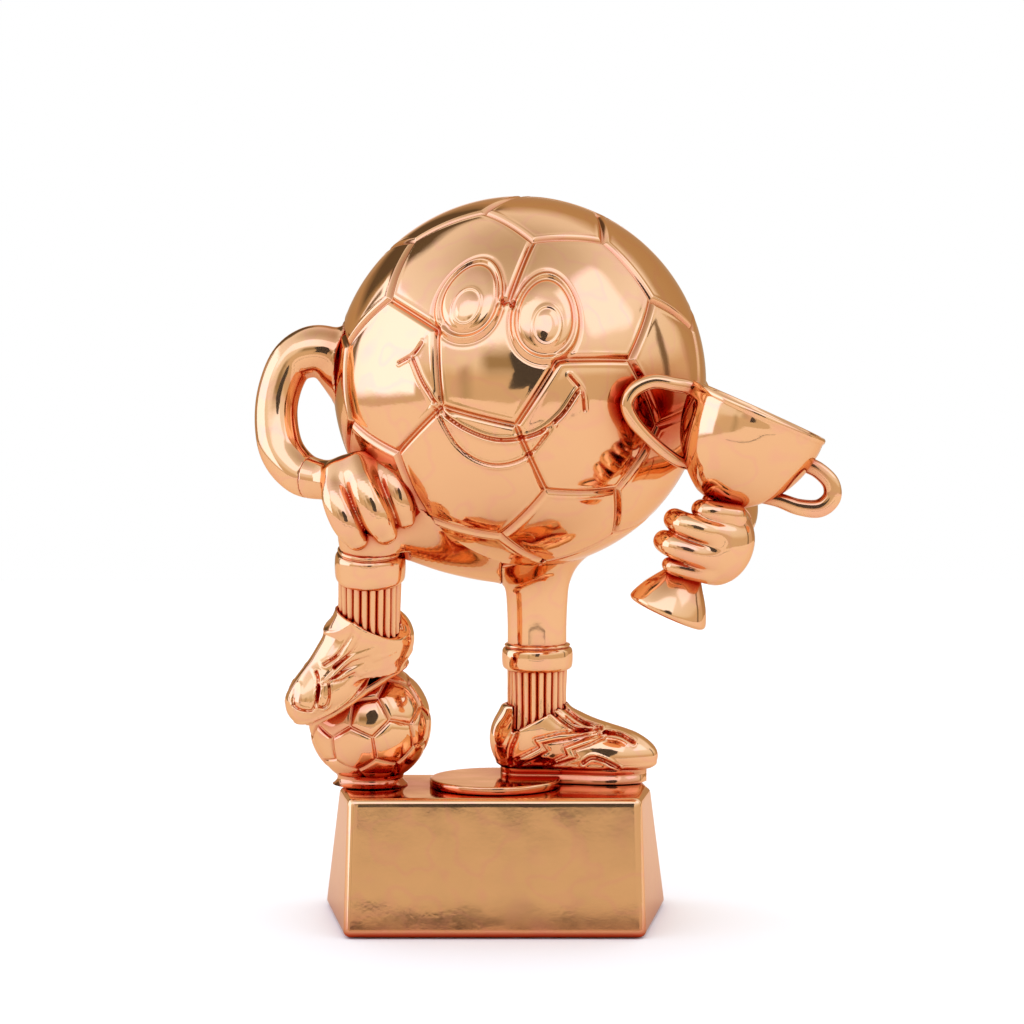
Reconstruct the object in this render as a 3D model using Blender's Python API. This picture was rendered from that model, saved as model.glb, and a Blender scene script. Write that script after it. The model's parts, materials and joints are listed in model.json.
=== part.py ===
"""Figure trophy: a football-shaped figure with a cup, standing on a tapered block.

The row frame has its origin at the middle of the base's underside, +Z up and -Y to the front.
All dimensions below are in millimetres, and solid() turns them into metres.
"""

import math

import bmesh
import bpy
from mathutils import Matrix, Vector

MM = 0.001
GAP = 0.3  # between pieces that meet

# Base
BASE_TOP_Z = 31.0
BASE_RIM_Z = 0.3  # the felt stands this far out of its recess
BASE_EDGE = 0.8
BASE_BOTTOM = [(-33.5, -25), (33.5, -25), (39.5, 16), (38.4, 25), (-38.4, 25), (-39.5, 16)]
BASE_TOP = [(-32.6, -21), (32.6, -21), (35.2, -4), (32.8, 15), (-32.8, 15), (-35.2, -4)]
RECESS_INSET = 3.0
RECESS_Z = 1.2
COUNTERBORE_R = 4.6
COUNTERBORE_Z = 8.0

# Round seat on top of the base
DISC_CENTRE = (0.0, -2.0)
DISC_R = 14.9
DISC_TOP_Z = 32.9
SPIGOT_R = 3.0
SPIGOT_DEEP = 4.0

# Rods and screws
ROD_R = 1.5
ROD_HOLE_R = 1.8
ROD_BOTTOM_Z = 2.2
WASHER_R = 4.0
WASHER_THICK = 0.6
NUT_ACROSS_FLATS = 5.5
NUT_THICK = 2.4
PIN_R = 1.25
PIN_HOLE_R = 1.5

# Standing leg, on the rod
LEG = (9.6, 6.0)
SOLE_TOP_Z = 34.2
LEG_R = 6.7
SOCK_R = 6.6
SOCK_RIBS = 18
CUFF_R = 8.1
SOCK_BOTTOM_Z = 43.5
CUFF_BOTTOM_Z = 56.6
CUFF_TOP_Z = 62.8
BOOT_TURN = math.radians(-4.0)

# Body
BODY = Vector((5.6, 2.0, 122.6))
BODY_R = 42.3
BODY_WALL = 2.6

# Small football and the raised leg above it
BALL = Vector((-28.5, 0.0, 45.2))
BALL_R = 14.0
KNEE = Vector((-27.2, -15.5, 91.0))
SHIN_FOOT = Vector((-26.6, -10.5, 66.0))

# Cup
CUP_RIM = Vector((57.6, -33.5, 118.5))
CUP_LEAN = math.radians(24.2)
BOWL_OUTSIDE = [
    (15.9, 0.0),
    (15.7, -4.0),
    (14.6, -9.0),
    (12.4, -13.6),
    (9.2, -17.6),
    (5.6, -20.6),
    (3.8, -21.8),
]
BOWL_INSIDE = [(3.0, -18.6), (7.6, -16.0), (10.9, -12.6), (13.1, -8.4), (14.2, -3.8), (14.5, 0.0)]
STEM = [
    (3.4, -22.1),
    (3.6, -24.0),
    (3.6, -37.0),
    (3.9, -39.6),
    (5.6, -42.6),
    (7.6, -45.4),
    (8.8, -47.6),
    (8.4, -48.6),
]


# ---------------------------------------------------------------- mesh helpers


def solid(name, shape, material=None, matrix=None):
    """One closed mesh object from (points in mm, faces), facing out."""
    points, faces = shape
    if matrix is not None:
        points = [matrix @ Vector(point) for point in points]
    mesh = bpy.data.meshes.new(name)
    mesh.from_pydata([Vector(point) * MM for point in points], [], faces)
    tidy = bmesh.new()
    tidy.from_mesh(mesh)
    bmesh.ops.recalc_face_normals(tidy, faces=tidy.faces)
    tidy.to_mesh(mesh)
    tidy.free()
    obj = bpy.data.objects.new(name, mesh)
    bpy.context.scene.collection.objects.link(obj)
    if material is not None:
        mesh.materials.append(material)
    return obj


def combine(target, tools, operation):
    """Cuts the tools from the target, or joins them to it, and removes them."""
    for tool in tools:
        modifier = target.modifiers.new(operation.lower(), "BOOLEAN")
        modifier.operation = operation
        modifier.solver = "EXACT"
        modifier.object = tool
        bpy.context.view_layer.update()
        evaluated = target.evaluated_get(bpy.context.evaluated_depsgraph_get())
        result = bpy.data.meshes.new_from_object(evaluated)
        target.modifiers.remove(modifier)
        old, target.data = target.data, result
        bpy.data.meshes.remove(old)
        result.name = target.name
        spent = tool.data
        bpy.data.objects.remove(tool)
        bpy.data.meshes.remove(spent)
    return target


def cut(target, *tools):
    return combine(target, tools, "DIFFERENCE")


def join(target, *tools):
    return combine(target, tools, "UNION")


def keep_inside(target, tool):
    return combine(target, [tool], "INTERSECT")


def ring_faces(rows, closed):
    """Faces between rows of point numbers. A row of one point is a tip."""
    faces = []
    pairs = list(zip(rows, rows[1:]))
    if closed:
        pairs.append((rows[-1], rows[0]))
    for low, high in pairs:
        count = max(len(low), len(high))
        for k in range(count):
            n = (k + 1) % count
            corners = [
                low[k % len(low)],
                low[n % len(low)],
                high[n % len(high)],
                high[k % len(high)],
            ]
            face = list(dict.fromkeys(corners))
            if len(face) > 2:
                faces.append(face)
    return faces


def loft(rings, closed=False):
    """A skin over rings of points, capped flat at both ends unless it closes on itself."""
    points, rows = [], []
    for ring in rings:
        rows.append(list(range(len(points), len(points) + len(ring))))
        points += [Vector(point) for point in ring]
    faces = ring_faces(rows, closed)
    if not closed:
        faces += [row for row in (rows[0], rows[-1]) if len(row) > 2]
    return points, faces


def circle(radius, sides, z=0.0, ribs=0, rib=0.0):
    """A ring about Z, with ribs cosine waves of depth rib round it."""
    points = []
    for k in range(sides):
        angle = 2 * math.pi * k / sides
        r = radius + rib * math.cos(ribs * angle)
        points.append((r * math.cos(angle), r * math.sin(angle), z))
    return points


def revolve(profile, sides, closed=False):
    """A solid of revolution about Z from (radius, z) pairs."""
    rings = [circle(r, sides, z) if r > 0 else [(0, 0, z)] for r, z in profile]
    return loft(rings, closed)


def rod(radius, low, high, sides=16):
    return revolve([(0, low), (radius, low), (radius, high), (0, high)], sides)


def washer(outer, inner, low, high, sides=24):
    return revolve([(inner, low), (outer, low), (outer, high), (inner, high)], sides, closed=True)


def hex_nut(low, high):
    corner = NUT_ACROSS_FLATS / math.sqrt(3)
    hole = (ROD_R + 0.1) * 2 / math.sqrt(3)
    rows = [circle(corner, 6, low), circle(corner, 6, high)]
    rows += [circle(hole, 6, high), circle(hole, 6, low)]
    return loft(rows, closed=True)


def ball(radius, sides, rings):
    profile = [(0, -radius)]
    for k in range(1, rings):
        angle = math.pi * k / rings
        profile.append((radius * math.sin(angle), -radius * math.cos(angle)))
    profile.append((0, radius))
    return revolve(profile, sides)


def moved(x, y, z):
    return Matrix.Translation((x, y, z))


def aimed(origin, towards):
    """A frame at origin with its +Z along towards."""
    turn = Vector(towards).to_track_quat("Z", "Y").to_matrix().to_4x4()
    return Matrix.Translation(origin) @ turn


def spline(points, steps):
    """Catmull-Rom points through the given rows of numbers."""
    rows = [Vector(row) for row in points]
    rows = [2 * rows[0] - rows[1], *rows, 2 * rows[-1] - rows[-2]]
    out = []
    for a, b, c, d in zip(rows, rows[1:], rows[2:], rows[3:]):
        for k in range(steps):
            t = k / steps
            square, cube = 2 * a - 5 * b + 4 * c - d, 3 * b - a - 3 * c + d
            out.append(0.5 * (2 * b + (c - a) * t + square * t**2 + cube * t**3))
    out.append(rows[-2])
    return out


def limb(stations, sides=12, steps=3, flat=1.0, across=(0, 1, 0)):
    """A round-ended tube through (x, y, z, radius) stations.

    flat scales the tube's width along the direction nearest to across.
    """
    rows = spline(stations, steps)
    centres = [Vector(row[:3]) for row in rows]
    radii = [row[3] for row in rows]
    rings = []
    last = len(rows) - 1
    for k, (centre, radius) in enumerate(zip(centres, radii)):
        along = (centres[min(k + 1, last)] - centres[max(k - 1, 0)]).normalized()
        wide = Vector(across)
        wide = (wide - wide.dot(along) * along).normalized()
        high = along.cross(wide)

        def ring(scale, shift, at=centre, r=radius, u=wide, v=high, w=along):
            places = []
            for j in range(sides):
                angle = 2 * math.pi * j / sides
                spread = flat * math.cos(angle) * u + math.sin(angle) * v
                places.append(at + spread * r * scale + w * r * shift)
            return places

        if k == 0:
            rings += [[centre - along * radius], ring(0.5, -0.866), ring(0.866, -0.5)]
        rings.append(ring(1, 0))
        if k == last:
            rings += [ring(0.866, 0.5), ring(0.5, 0.866), [centre + along * radius]]
    return loft(rings)


def polygon_inset(corners, by):
    """A convex polygon, counter-clockwise, with each side moved in."""
    lines = []
    for (ax, ay), (bx, by_) in zip(corners, corners[1:] + corners[:1]):
        length = math.hypot(bx - ax, by_ - ay)
        nx, ny = -(by_ - ay) / length, (bx - ax) / length
        lines.append((nx, ny, nx * ax + ny * ay + by))
    out = []
    for (a, b, c), (d, e, f) in zip(lines[-1:] + lines[:-1], lines):
        det = a * e - b * d
        out.append(((c * e - b * f) / det, (a * f - c * d) / det))
    return out


def base_section(z, inset=0.0):
    part = z / BASE_TOP_Z
    corners = [
        (bx + (tx - bx) * part, by + (ty - by) * part)
        for (bx, by), (tx, ty) in zip(BASE_BOTTOM, BASE_TOP)
    ]
    return [(x, y, z) for x, y in polygon_inset(corners, inset)]


# ---------------------------------------------------------------- materials


def material(name, colour, metallic, roughness):
    made = bpy.data.materials.new(name)
    made.use_nodes = True
    shader = made.node_tree.nodes["Principled BSDF"]
    shader.inputs["Base Color"].default_value = (*colour, 1)
    shader.inputs["Metallic"].default_value = metallic
    shader.inputs["Roughness"].default_value = roughness
    made.diffuse_color = (*colour, 1)
    return made


# ---------------------------------------------------------------- base


def make_base(copper, felt):
    block = solid(
        "base_block",
        loft(
            [
                base_section(BASE_RIM_Z, BASE_EDGE),
                base_section(BASE_RIM_Z + BASE_EDGE),
                base_section(BASE_TOP_Z - BASE_EDGE),
                base_section(BASE_TOP_Z, BASE_EDGE),
            ]
        ),
        copper,
    )
    recess = [(x, y, z) for z in (-1, RECESS_Z) for x, y, _ in base_section(0, RECESS_INSET)]
    recess = loft([recess[:6], recess[6:]])
    tools = [solid("recess", recess)]
    for x, y in (LEG, BALL.xy):
        tools.append(solid("counterbore", rod(COUNTERBORE_R, 0, COUNTERBORE_Z, 24), None, moved(x, y, 0)))
        tools.append(solid("hole", rod(ROD_HOLE_R, 0, 40), None, moved(x, y, 0)))
    spigot_hole = rod(SPIGOT_R + GAP, BASE_TOP_Z - SPIGOT_DEEP - GAP, 40, 20)
    tools.append(solid("spigot_hole", spigot_hole, None, moved(*DISC_CENTRE, 0)))
    cut(block, *tools)

    pad = [(x, y, z) for z in (0, RECESS_Z - GAP) for x, y, _ in base_section(0, RECESS_INSET + GAP)]
    solid("felt_pad", loft([pad[:6], pad[6:]]), felt)

    low = BASE_TOP_Z + GAP
    disc = solid(
        "centre_disc",
        revolve(
            [
                (0, BASE_TOP_Z - SPIGOT_DEEP),
                (SPIGOT_R, BASE_TOP_Z - SPIGOT_DEEP),
                (SPIGOT_R, low),
                (DISC_R, low),
                (DISC_R, DISC_TOP_Z - 0.3),
                (DISC_R - 0.3, DISC_TOP_Z),
                (0, DISC_TOP_Z),
            ],
            40,
        ),
        copper,
        moved(*DISC_CENTRE, 0),
    )
    # The rod passes through the rim, so the rim has a notch for it.
    notch = loft([[(-2.2, -2.2, z), (9, -2.2, z), (9, 9, z), (-2.2, 9, z)] for z in (20, 40)])
    cut(disc, solid("notch", notch, None, moved(*LEG, 0)))


def make_fasteners(steel):
    """The long rod of the standing leg, and the screw that holds the small football."""
    body_floor = BODY.z - BODY_R + BODY_WALL + 3.0
    solid("standing_leg_rod", rod(ROD_R, ROD_BOTTOM_Z, body_floor + 5.0), steel, moved(*LEG, 0))
    top = COUNTERBORE_Z - GAP
    low = top - WASHER_THICK
    solid("standing_rod_washer", washer(WASHER_R, ROD_HOLE_R, low, top), steel, moved(*LEG, 0))
    nut_top = low - 0.1
    solid("standing_rod_nut", hex_nut(nut_top - NUT_THICK, nut_top), steel, moved(*LEG, 0))
    low = body_floor + GAP
    washer_inside = washer(WASHER_R, ROD_HOLE_R, low, low + WASHER_THICK)
    solid("body_rod_washer", washer_inside, steel, moved(*LEG, 0))
    low += WASHER_THICK + 0.1
    solid("body_rod_nut", hex_nut(low, low + NUT_THICK), steel, moved(*LEG, 0))

    low = COUNTERBORE_Z - GAP - WASHER_THICK
    ring = washer(WASHER_R, ROD_HOLE_R, low, low + WASHER_THICK)
    solid("ball_screw_washer", ring, steel, moved(*BALL.xy, 0))
    head_top = low - 0.1
    screw = revolve(
        [
            (0, head_top - 2.2),
            (2.4, head_top - 2.2),
            (3.0, head_top - 1.6),
            (3.0, head_top),
            (ROD_R, head_top),
            (ROD_R, BALL.z - 2.0),
            (0, BALL.z),
        ],
        16,
    )
    solid("ball_screw", screw, steel, moved(*BALL.xy, 0))


def leg_hole():
    return solid("hole", rod(ROD_HOLE_R, 0, 110), None, moved(*LEG, 0))


def body_ball(extra=0.0, sides=40, rings=20):
    return solid("body", ball(BODY_R + extra, sides, rings), None, Matrix.Translation(BODY))


# ---------------------------------------------------------------- boots


def boot_shape(stations, corners=12):
    """A boot along +X. Each station is (x, half width, underside z, top z, how boxy the section is)."""
    rings = []
    for x, half, low, high, boxy in stations:
        mid, tall = (low + high) / 2, (high - low) / 2
        ring = []
        for k in range(corners):
            angle = 2 * math.pi * (k + 0.5) / corners
            c, s = math.cos(angle), math.sin(angle)
            power = 2 / boxy if s < 0 else 1.0
            y = math.copysign(abs(c) ** power, c) * half
            z = math.copysign(abs(s) ** power, s) * tall
            ring.append((x, y, mid + z))
        rings.append(ring)
    return loft(rings)


def sole_outline(length, half, z):
    """A shoe-sole outline along +X with its heel at x=0."""
    widths = [
        (0.00, 0.00),
        (0.03, 0.52),
        (0.12, 0.80),
        (0.30, 0.82),
        (0.48, 0.80),
        (0.66, 0.98),
        (0.82, 0.92),
        (0.94, 0.58),
        (1.00, 0.00),
    ]
    side = [(t * length, w * half) for t, w in widths]
    left = [(x, -w, z) for x, w in side]
    right = [(x, w, z) for x, w in reversed(side[1:-1])]
    return left + right


def make_standing_leg(copper):
    turn = Matrix.Rotation(BOOT_TURN, 4, "Z")
    frame = moved(LEG[0] - 8.6, LEG[1], 0) @ turn

    sole_low = BASE_TOP_Z + GAP
    sole_rings = [sole_outline(34.0, 6.6, z) for z in (sole_low, SOLE_TOP_Z - GAP)]
    sole = solid("standing_boot_sole", loft(sole_rings), copper, frame)
    seat = rod(DISC_R + GAP, 20, DISC_TOP_Z + GAP, 40)
    cut(sole, solid("seat", seat, None, moved(*DISC_CENTRE, 0)), leg_hole())

    z = SOLE_TOP_Z
    boot = solid(
        "standing_boot",
        boot_shape(
            [
                (-2.4, 1.6, z + 3.2, z + 10.0, 3),
                (-1.4, 4.2, z + 0.6, z + 13.2, 3),
                (1.5, 6.0, z, z + 14.6, 3),
                (6.0, 6.8, z, z + 14.8, 3),
                (11.0, 7.0, z, z + 14.6, 3),
                (15.5, 6.9, z, z + 13.4, 3),
                (20.0, 7.1, z, z + 10.4, 3),
                (26.0, 7.4, z, z + 8.2, 3),
                (31.0, 6.6, z + 0.3, z + 6.4, 3),
                (34.4, 4.4, z + 0.9, z + 4.9, 3),
                (36.2, 1.8, z + 1.8, z + 3.6, 3),
            ],
            14,
        ),
        copper,
        frame,
    )
    collar = revolve([(0, z + 4), (7.6, z + 4), (7.9, z + 15.6), (7.2, z + 16.4), (0, z + 16.4)], 18)
    join(boot, solid("collar", collar, None, moved(LEG[0], LEG[1], 0)))
    well = rod(SOCK_R + 0.5, SOCK_BOTTOM_Z - GAP, 80, 18)
    cut(boot, solid("well", well, None, moved(*LEG, 0)), leg_hole())

    ribs = [
        circle(SOCK_R - 0.25, 4 * SOCK_RIBS, z, SOCK_RIBS, 0.25)
        for z in (SOCK_BOTTOM_Z, CUFF_BOTTOM_Z - GAP)
    ]
    sock = solid("standing_sock", loft(ribs), copper, moved(*LEG, 0))
    cut(sock, leg_hole())

    low, high = CUFF_BOTTOM_Z, CUFF_TOP_Z
    cuff = revolve(
        [
            (0, low),
            (CUFF_R - 0.9, low),
            (CUFF_R, low + 1.2),
            (CUFF_R, high - 1.2),
            (CUFF_R - 0.9, high),
            (0, high),
        ],
        28,
    )
    cut(solid("standing_sock_cuff", cuff, copper, moved(*LEG, 0)), leg_hole())

    leg = revolve(
        [
            (0, CUFF_TOP_Z + GAP),
            (LEG_R, CUFF_TOP_Z + GAP),
            (LEG_R - 0.1, 68),
            (LEG_R + 0.3, 74),
            (LEG_R + 1.3, 77.2),
            (LEG_R + 2.0, 80),
            (LEG_R + 2.0, 86),
            (0, 86),
        ],
        28,
    )
    leg = solid("standing_leg", leg, copper, moved(*LEG, 0))
    cut(leg, body_ball(GAP), leg_hole())


def raised_boot_frame():
    """The raised boot's own frame: +X to the toe, +Z up its ankle."""
    heel = Vector((-19.4, -5.4, 60.5))
    toe = Vector((-42.0, -13.0, 46.6))
    along = (toe - heel).normalized()
    up = Vector((-0.30, -0.22, 0.93))
    up = (up - up.dot(along) * along).normalized()
    side = up.cross(along)
    turn = Matrix((along, side, up)).transposed().to_4x4()
    return Matrix.Translation(heel) @ turn


def make_raised_leg(copper, steel):
    foot = solid("small_ball", ball(BALL_R, 28, 14), copper, Matrix.Translation(BALL))
    low = BASE_TOP_Z + GAP
    boss = revolve([(0, low), (7.4, low), (6.2, low + 1.0), (5.6, low + 2.4), (0, low + 2.4)], 24)
    join(foot, solid("boss", boss, None, moved(*BALL.xy, 0)))
    cut(foot, solid("hole", rod(ROD_HOLE_R, 0, BALL.z + 1), None, moved(*BALL.xy, 0)))

    frame = raised_boot_frame()
    sole = solid("raised_boot_sole", loft([sole_outline(28.4, 5.6, z) for z in (0, 1.6)]), copper, frame)
    boot = solid(
        "raised_boot",
        boot_shape(
            [
                (-1.6, 1.6, 4.4, 8.4, 3),
                (-0.6, 3.8, 2.4, 10.6, 3),
                (2.0, 5.4, 1.9, 12.0, 3),
                (6.5, 6.2, 1.9, 13.0, 3),
                (11.0, 6.5, 1.9, 12.8, 3),
                (15.5, 6.6, 1.9, 11.4, 3),
                (20.5, 6.6, 1.9, 10.2, 3),
                (25.0, 5.6, 2.1, 9.0, 3),
                (28.0, 3.6, 2.9, 7.4, 3),
                (29.4, 1.4, 3.9, 6.0, 3),
            ],
            14,
        ),
        copper,
        frame,
    )
    shin = (KNEE - SHIN_FOOT).normalized()
    ankle = aimed(SHIN_FOOT, shin)
    collar = revolve([(0, -4), (6.6, -4), (7.4, 3.4), (6.8, 4.4), (0, 4.4)], 18)
    join(boot, solid("collar", collar, None, ankle))
    cut(boot, solid("well", rod(6.9, 0.0, 30, 18), None, ankle))
    for piece in (sole, boot):
        cut(piece, body_like_ball())

    pin_at = BALL + Vector((-0.6, -6.2, 10.0))
    pin_along = Vector((-0.08, -0.55, 0.83))
    pin_frame = aimed(pin_at, pin_along)
    for piece in (foot, sole, boot):
        cut(piece, solid("hole", rod(PIN_HOLE_R, -5.0, 9.0, 12), None, pin_frame))
    solid("boot_pin", rod(PIN_R, -4.6, 8.4, 12), steel, pin_frame)

    length = (KNEE - SHIN_FOOT).length
    cuff_low, cuff_high = length - 12.4, length - 4.6
    ribs = [circle(6.55, 4 * SOCK_RIBS, z, SOCK_RIBS, 0.25) for z in (GAP, cuff_low - GAP)]
    solid("raised_sock", loft(ribs), copper, ankle)
    cuff = revolve(
        [
            (0, cuff_low),
            (6.9, cuff_low),
            (7.8, cuff_low + 1.4),
            (7.8, cuff_high - 1.4),
            (6.9, cuff_high),
            (0, cuff_high),
        ],
        26,
    )
    solid("raised_sock_cuff", cuff, copper, ankle)

    thigh = limb(
        [
            (*(KNEE + Vector((0.6, 0.6, -0.4))), 7.2),
            (-20.0, -11.0, 91.5, 7.4),
            (-9.0, -4.0, 89.0, 8.2),
            (-3.4, 1.0, 86.2, 7.4),
        ],
        16,
        3,
    )
    leg = solid("raised_leg", thigh, copper)
    join(leg, solid("stub", rod(6.5, cuff_high - 1, length + 1, 24), None, ankle))
    below_cuff = rod(9.5, -40, cuff_high + GAP, 24)
    past_leg = revolve(
        [
            (0, 60),
            (LEG_R + GAP, 60),
            (LEG_R + GAP, 68),
            (LEG_R + 0.8, 74),
            (LEG_R + 2.4, 78),
            (LEG_R + 2.5, 100),
            (0, 100),
        ],
        28,
    )
    cut(
        leg,
        body_ball(GAP),
        solid("below_cuff", below_cuff, None, ankle),
        solid("past_leg", past_leg, None, moved(*LEG, 0)),
    )
    dowel_at = Vector((-10.4, -5.4, 87.6))
    dowel = aimed(dowel_at, BODY - dowel_at)
    cut(leg, solid("hole", rod(PIN_HOLE_R, -4.6, 12, 12), None, dowel))
    solid("raised_leg_pin", rod(PIN_R, -4.2, 7.4, 12), steel, dowel)
    return dowel


def body_like_ball():
    """The small football with its glue gap, as a cutter."""
    return solid("clear", ball(BALL_R + GAP, 28, 14), None, Matrix.Translation(BALL))


# ---------------------------------------------------------------- body


def half_shell(name, copper, side):
    """Half of the hollow body. side is -1 for the front half and 1 for the rear one."""
    outer, inner = BODY_R, BODY_R - BODY_WALL
    rings = 9
    joint = GAP / 2
    profile = [(0, outer)]
    for k in range(1, rings):
        angle = math.pi / 2 * k / rings
        profile.append((outer * math.sin(angle), outer * math.cos(angle)))
    profile += [(math.sqrt(outer**2 - joint**2), joint), (math.sqrt(inner**2 - joint**2), joint)]
    for k in range(rings - 1, 0, -1):
        angle = math.pi / 2 * k / rings
        profile.append((inner * math.sin(angle), inner * math.cos(angle)))
    profile.append((0, inner))
    return solid(name, revolve(profile, 40), copper, aimed(BODY, (0, side, 0)))


def on_body(right, up, proud=0.0):
    """A place on the front of the body, and the direction out of it there."""
    reach = BODY_R + proud
    depth = math.sqrt(reach**2 - right**2 - up**2)
    out = Vector((right, -depth, up))
    return BODY + out, out.normalized()


def eye(right, up, lean):
    """A raised egg-shaped eye with a round pupil, as a cutter-joined lump."""
    place, out = on_body(right, up, -1.2)
    frame = aimed(place, out)
    # Turn the lump so that its long way runs up the body.
    local_up = frame.to_3x3().inverted() @ Vector((lean, 0, 1))
    roll = Matrix.Rotation(math.atan2(-local_up.x, local_up.y), 4, "Z")
    stretch = Matrix.Diagonal((6.6, 9.2, 1.0, 1.0))
    lump = [
        circle(1.0, 20, -1.0),
        circle(1.0, 20, 1.5),
        circle(0.90, 20, 1.9),
        circle(0.84, 20, 1.6),
    ]
    return solid("eye", loft(lump), None, frame @ roll @ stretch)


def smile():
    """The raised mouth line."""
    stations = []
    for right, up in ((-20, 4), (-16.5, -6), (-7.5, -12.4), (2.5, -10.4), (9.5, -4), (12.5, 2)):
        place, _ = on_body(right, up, 0.0)
        stations.append((*place, 0.75))
    return solid("smile", limb(stations, 6, 2), None)


def make_body(copper, steel, leg_dowel):
    front = half_shell("ball_front_shell", copper, -1)
    join(front, eye(-10.8, 20.0, 0.2), eye(5.6, 16.0, 0.2), smile())
    rear = half_shell("ball_rear_shell", copper, 1)

    floor = BODY.z - BODY_R + BODY_WALL + 3.0
    boss = solid("boss", rod(4.8, floor - 3.8, floor, 20), None, moved(*LEG, 0))
    joint = BODY.y + GAP / 2
    behind = loft([[(-60, joint, z), (60, joint, z), (60, 90, z), (-60, 90, z)] for z in (60, 120)])
    keep_inside(boss, solid("behind", behind))
    join(rear, boss)
    cut(rear, leg_hole())

    pins = [leg_dowel]
    for name, x, z in (("left_arm_pin", -1, 4.6), ("right_arm_pin", 1, -7.0)):
        out = Vector((x * math.sqrt(BODY_R**2 - z**2), 0, z)).normalized()
        place = BODY + out * BODY_R + Vector((0, -3.6 if x < 0 else 4.6, 0))
        frame = aimed(place, out)
        solid(name, rod(PIN_R, -4.2, 4.2, 12), steel, frame)
        pins.append(frame)
    for shell, frames in ((front, (pins[0], pins[1])), (rear, (pins[2],))):
        for frame in frames:
            cut(shell, solid("hole", rod(PIN_HOLE_R, -4.6, 12, 12), None, frame))
    return pins[1], pins[2]


# ---------------------------------------------------------------- arms


def make_arms(copper, left_pin, right_pin):
    left = solid(
        "left_arm",
        limb(
            [
                (-33.5, -1.6, 127.6, 5.8),
                (-39.0, -1.8, 130.6, 4.9),
                (-45.2, -2.0, 127.6, 4.6),
                (-49.0, -3.6, 118.0, 4.5),
                (-48.6, -6.0, 108.0, 4.7),
                (-43.6, -9.6, 101.8, 4.8),
                (-37.0, -13.6, 100.8, 4.5),
            ],
            14,
            4,
        ),
        copper,
    )
    cut(left, body_ball(GAP))
    cut(left, solid("hole", rod(PIN_HOLE_R, -6, 4.6, 12), None, left_pin))

    right = solid(
        "right_arm",
        limb(
            [
                (45.0, 7.0, 116.4, 6.2),
                (50.4, 6.4, 111.0, 5.0),
                (54.2, 1.0, 101.0, 4.6),
                (54.4, -8.0, 94.6, 4.6),
                (52.6, -17.0, 91.8, 4.6),
                (50.6, -23.0, 91.0, 4.4),
            ],
            14,
            4,
        ),
        copper,
    )
    cut(right, body_ball(GAP))
    cut(right, solid("hole", rod(PIN_HOLE_R, -6, 4.6, 12), None, right_pin))


def make_left_hand(copper):
    """The hand over the knee: a palm, three fingers down the front and a thumb."""
    palm = limb(
        [
            (-33.4, -15.4, 101.0, 5.0),
            (-29.0, -18.4, 102.4, 5.6),
            (-24.4, -19.4, 101.6, 4.8),
        ],
        12,
        3,
    )
    hand = solid("left_hand", palm, copper)
    for x, low in ((-33.6, 91.4), (-28.0, 89.8), (-22.4, 91.0)):
        finger = [
            (x + 0.6, -20.2, 103.0, 3.1),
            (x + 0.2, -24.4, 100.0, 3.3),
            (x, -25.9, 95.4, 3.2),
            (x + 0.2, -25.6, low, 2.6),
        ]
        join(hand, solid("finger", limb(finger, 10, 2)))
    thumb = [(-23.0, -17.0, 101.0, 3.0), (-18.6, -15.6, 98.0, 2.8), (-17.2, -14.4, 93.6, 2.3)]
    join(hand, solid("thumb", limb(thumb, 10, 2)))
    # Room for the knee, the cuff, the body and the end of the forearm.
    knee = limb(
        [
            (*(KNEE + Vector((0.6, 0.6, -0.4))), 7.6),
            (-20.0, -11.0, 91.5, 7.8),
            (-9.0, -4.0, 89.0, 8.6),
        ],
        16,
        3,
    )
    shin = (KNEE - SHIN_FOOT).normalized()
    shin_clear = solid("shin", rod(8.2, 10, 27, 24), None, aimed(SHIN_FOOT, shin))
    cut(hand, solid("knee", knee), shin_clear, body_ball(GAP))
    forearm = limb([(-50, -8.0, 103.4, 5.1), (-43.6, -9.6, 101.8, 5.1), (-37.0, -13.6, 100.8, 4.8)], 14, 4)
    cut(hand, solid("forearm", forearm))


def cup_frame():
    """The cup's own frame: origin in the middle of the rim, +Z out of the mouth."""
    return Matrix.Translation(CUP_RIM) @ Matrix.Rotation(CUP_LEAN, 4, "Y")


def bowl_cutter(frame):
    """The outside of the bowl with its glue gap."""
    profile = [(0, 3), (16.2, 3), (16.2, 0.3)]
    profile += [(r + 0.35, z - 0.1) for r, z in BOWL_OUTSIDE[1:]] + [(0, -22.3)]
    return solid("clear", revolve(profile, 32), None, frame)


def make_right_fist(copper):
    """Four fingers closed round the stem, with the back of the hand to the right."""
    frame = cup_frame()
    fist = solid(
        "right_fist",
        limb([(5.2, 0.6, -24.6, 5.6), (5.4, 1.2, -31.0, 6.2), (4.0, 1.0, -37.0, 5.0)], 14, 3),
        copper,
        frame,
    )
    for z, reach in ((-25.6, 5.8), (-29.6, 6.3), (-33.6, 6.3), (-37.4, 5.6)):
        finger = [
            (6.6, -3.4, z, 2.6),
            (2.4, -6.4, z, 2.5),
            (-3.0, -reach, z, 2.45),
            (-6.6, -2.6, z, 2.4),
            (-6.4, 2.0, z, 2.2),
        ]
        join(fist, solid("finger", limb(finger, 10, 3, across=(0, 0, 1)), None, frame))
    stem = revolve([(0, -20)] + [(r + 0.5, z) for r, z in STEM] + [(0, -60)], 28)
    forearm = limb([(54.4, -8.0, 94.6, 5.0), (52.6, -17.0, 91.8, 4.9), (50.6, -23.0, 91.0, 4.7)], 14, 4)
    tools = [solid("stem", stem, None, frame), bowl_cutter(frame), solid("forearm", forearm)]
    cut(fist, *tools)


# ---------------------------------------------------------------- cup


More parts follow.
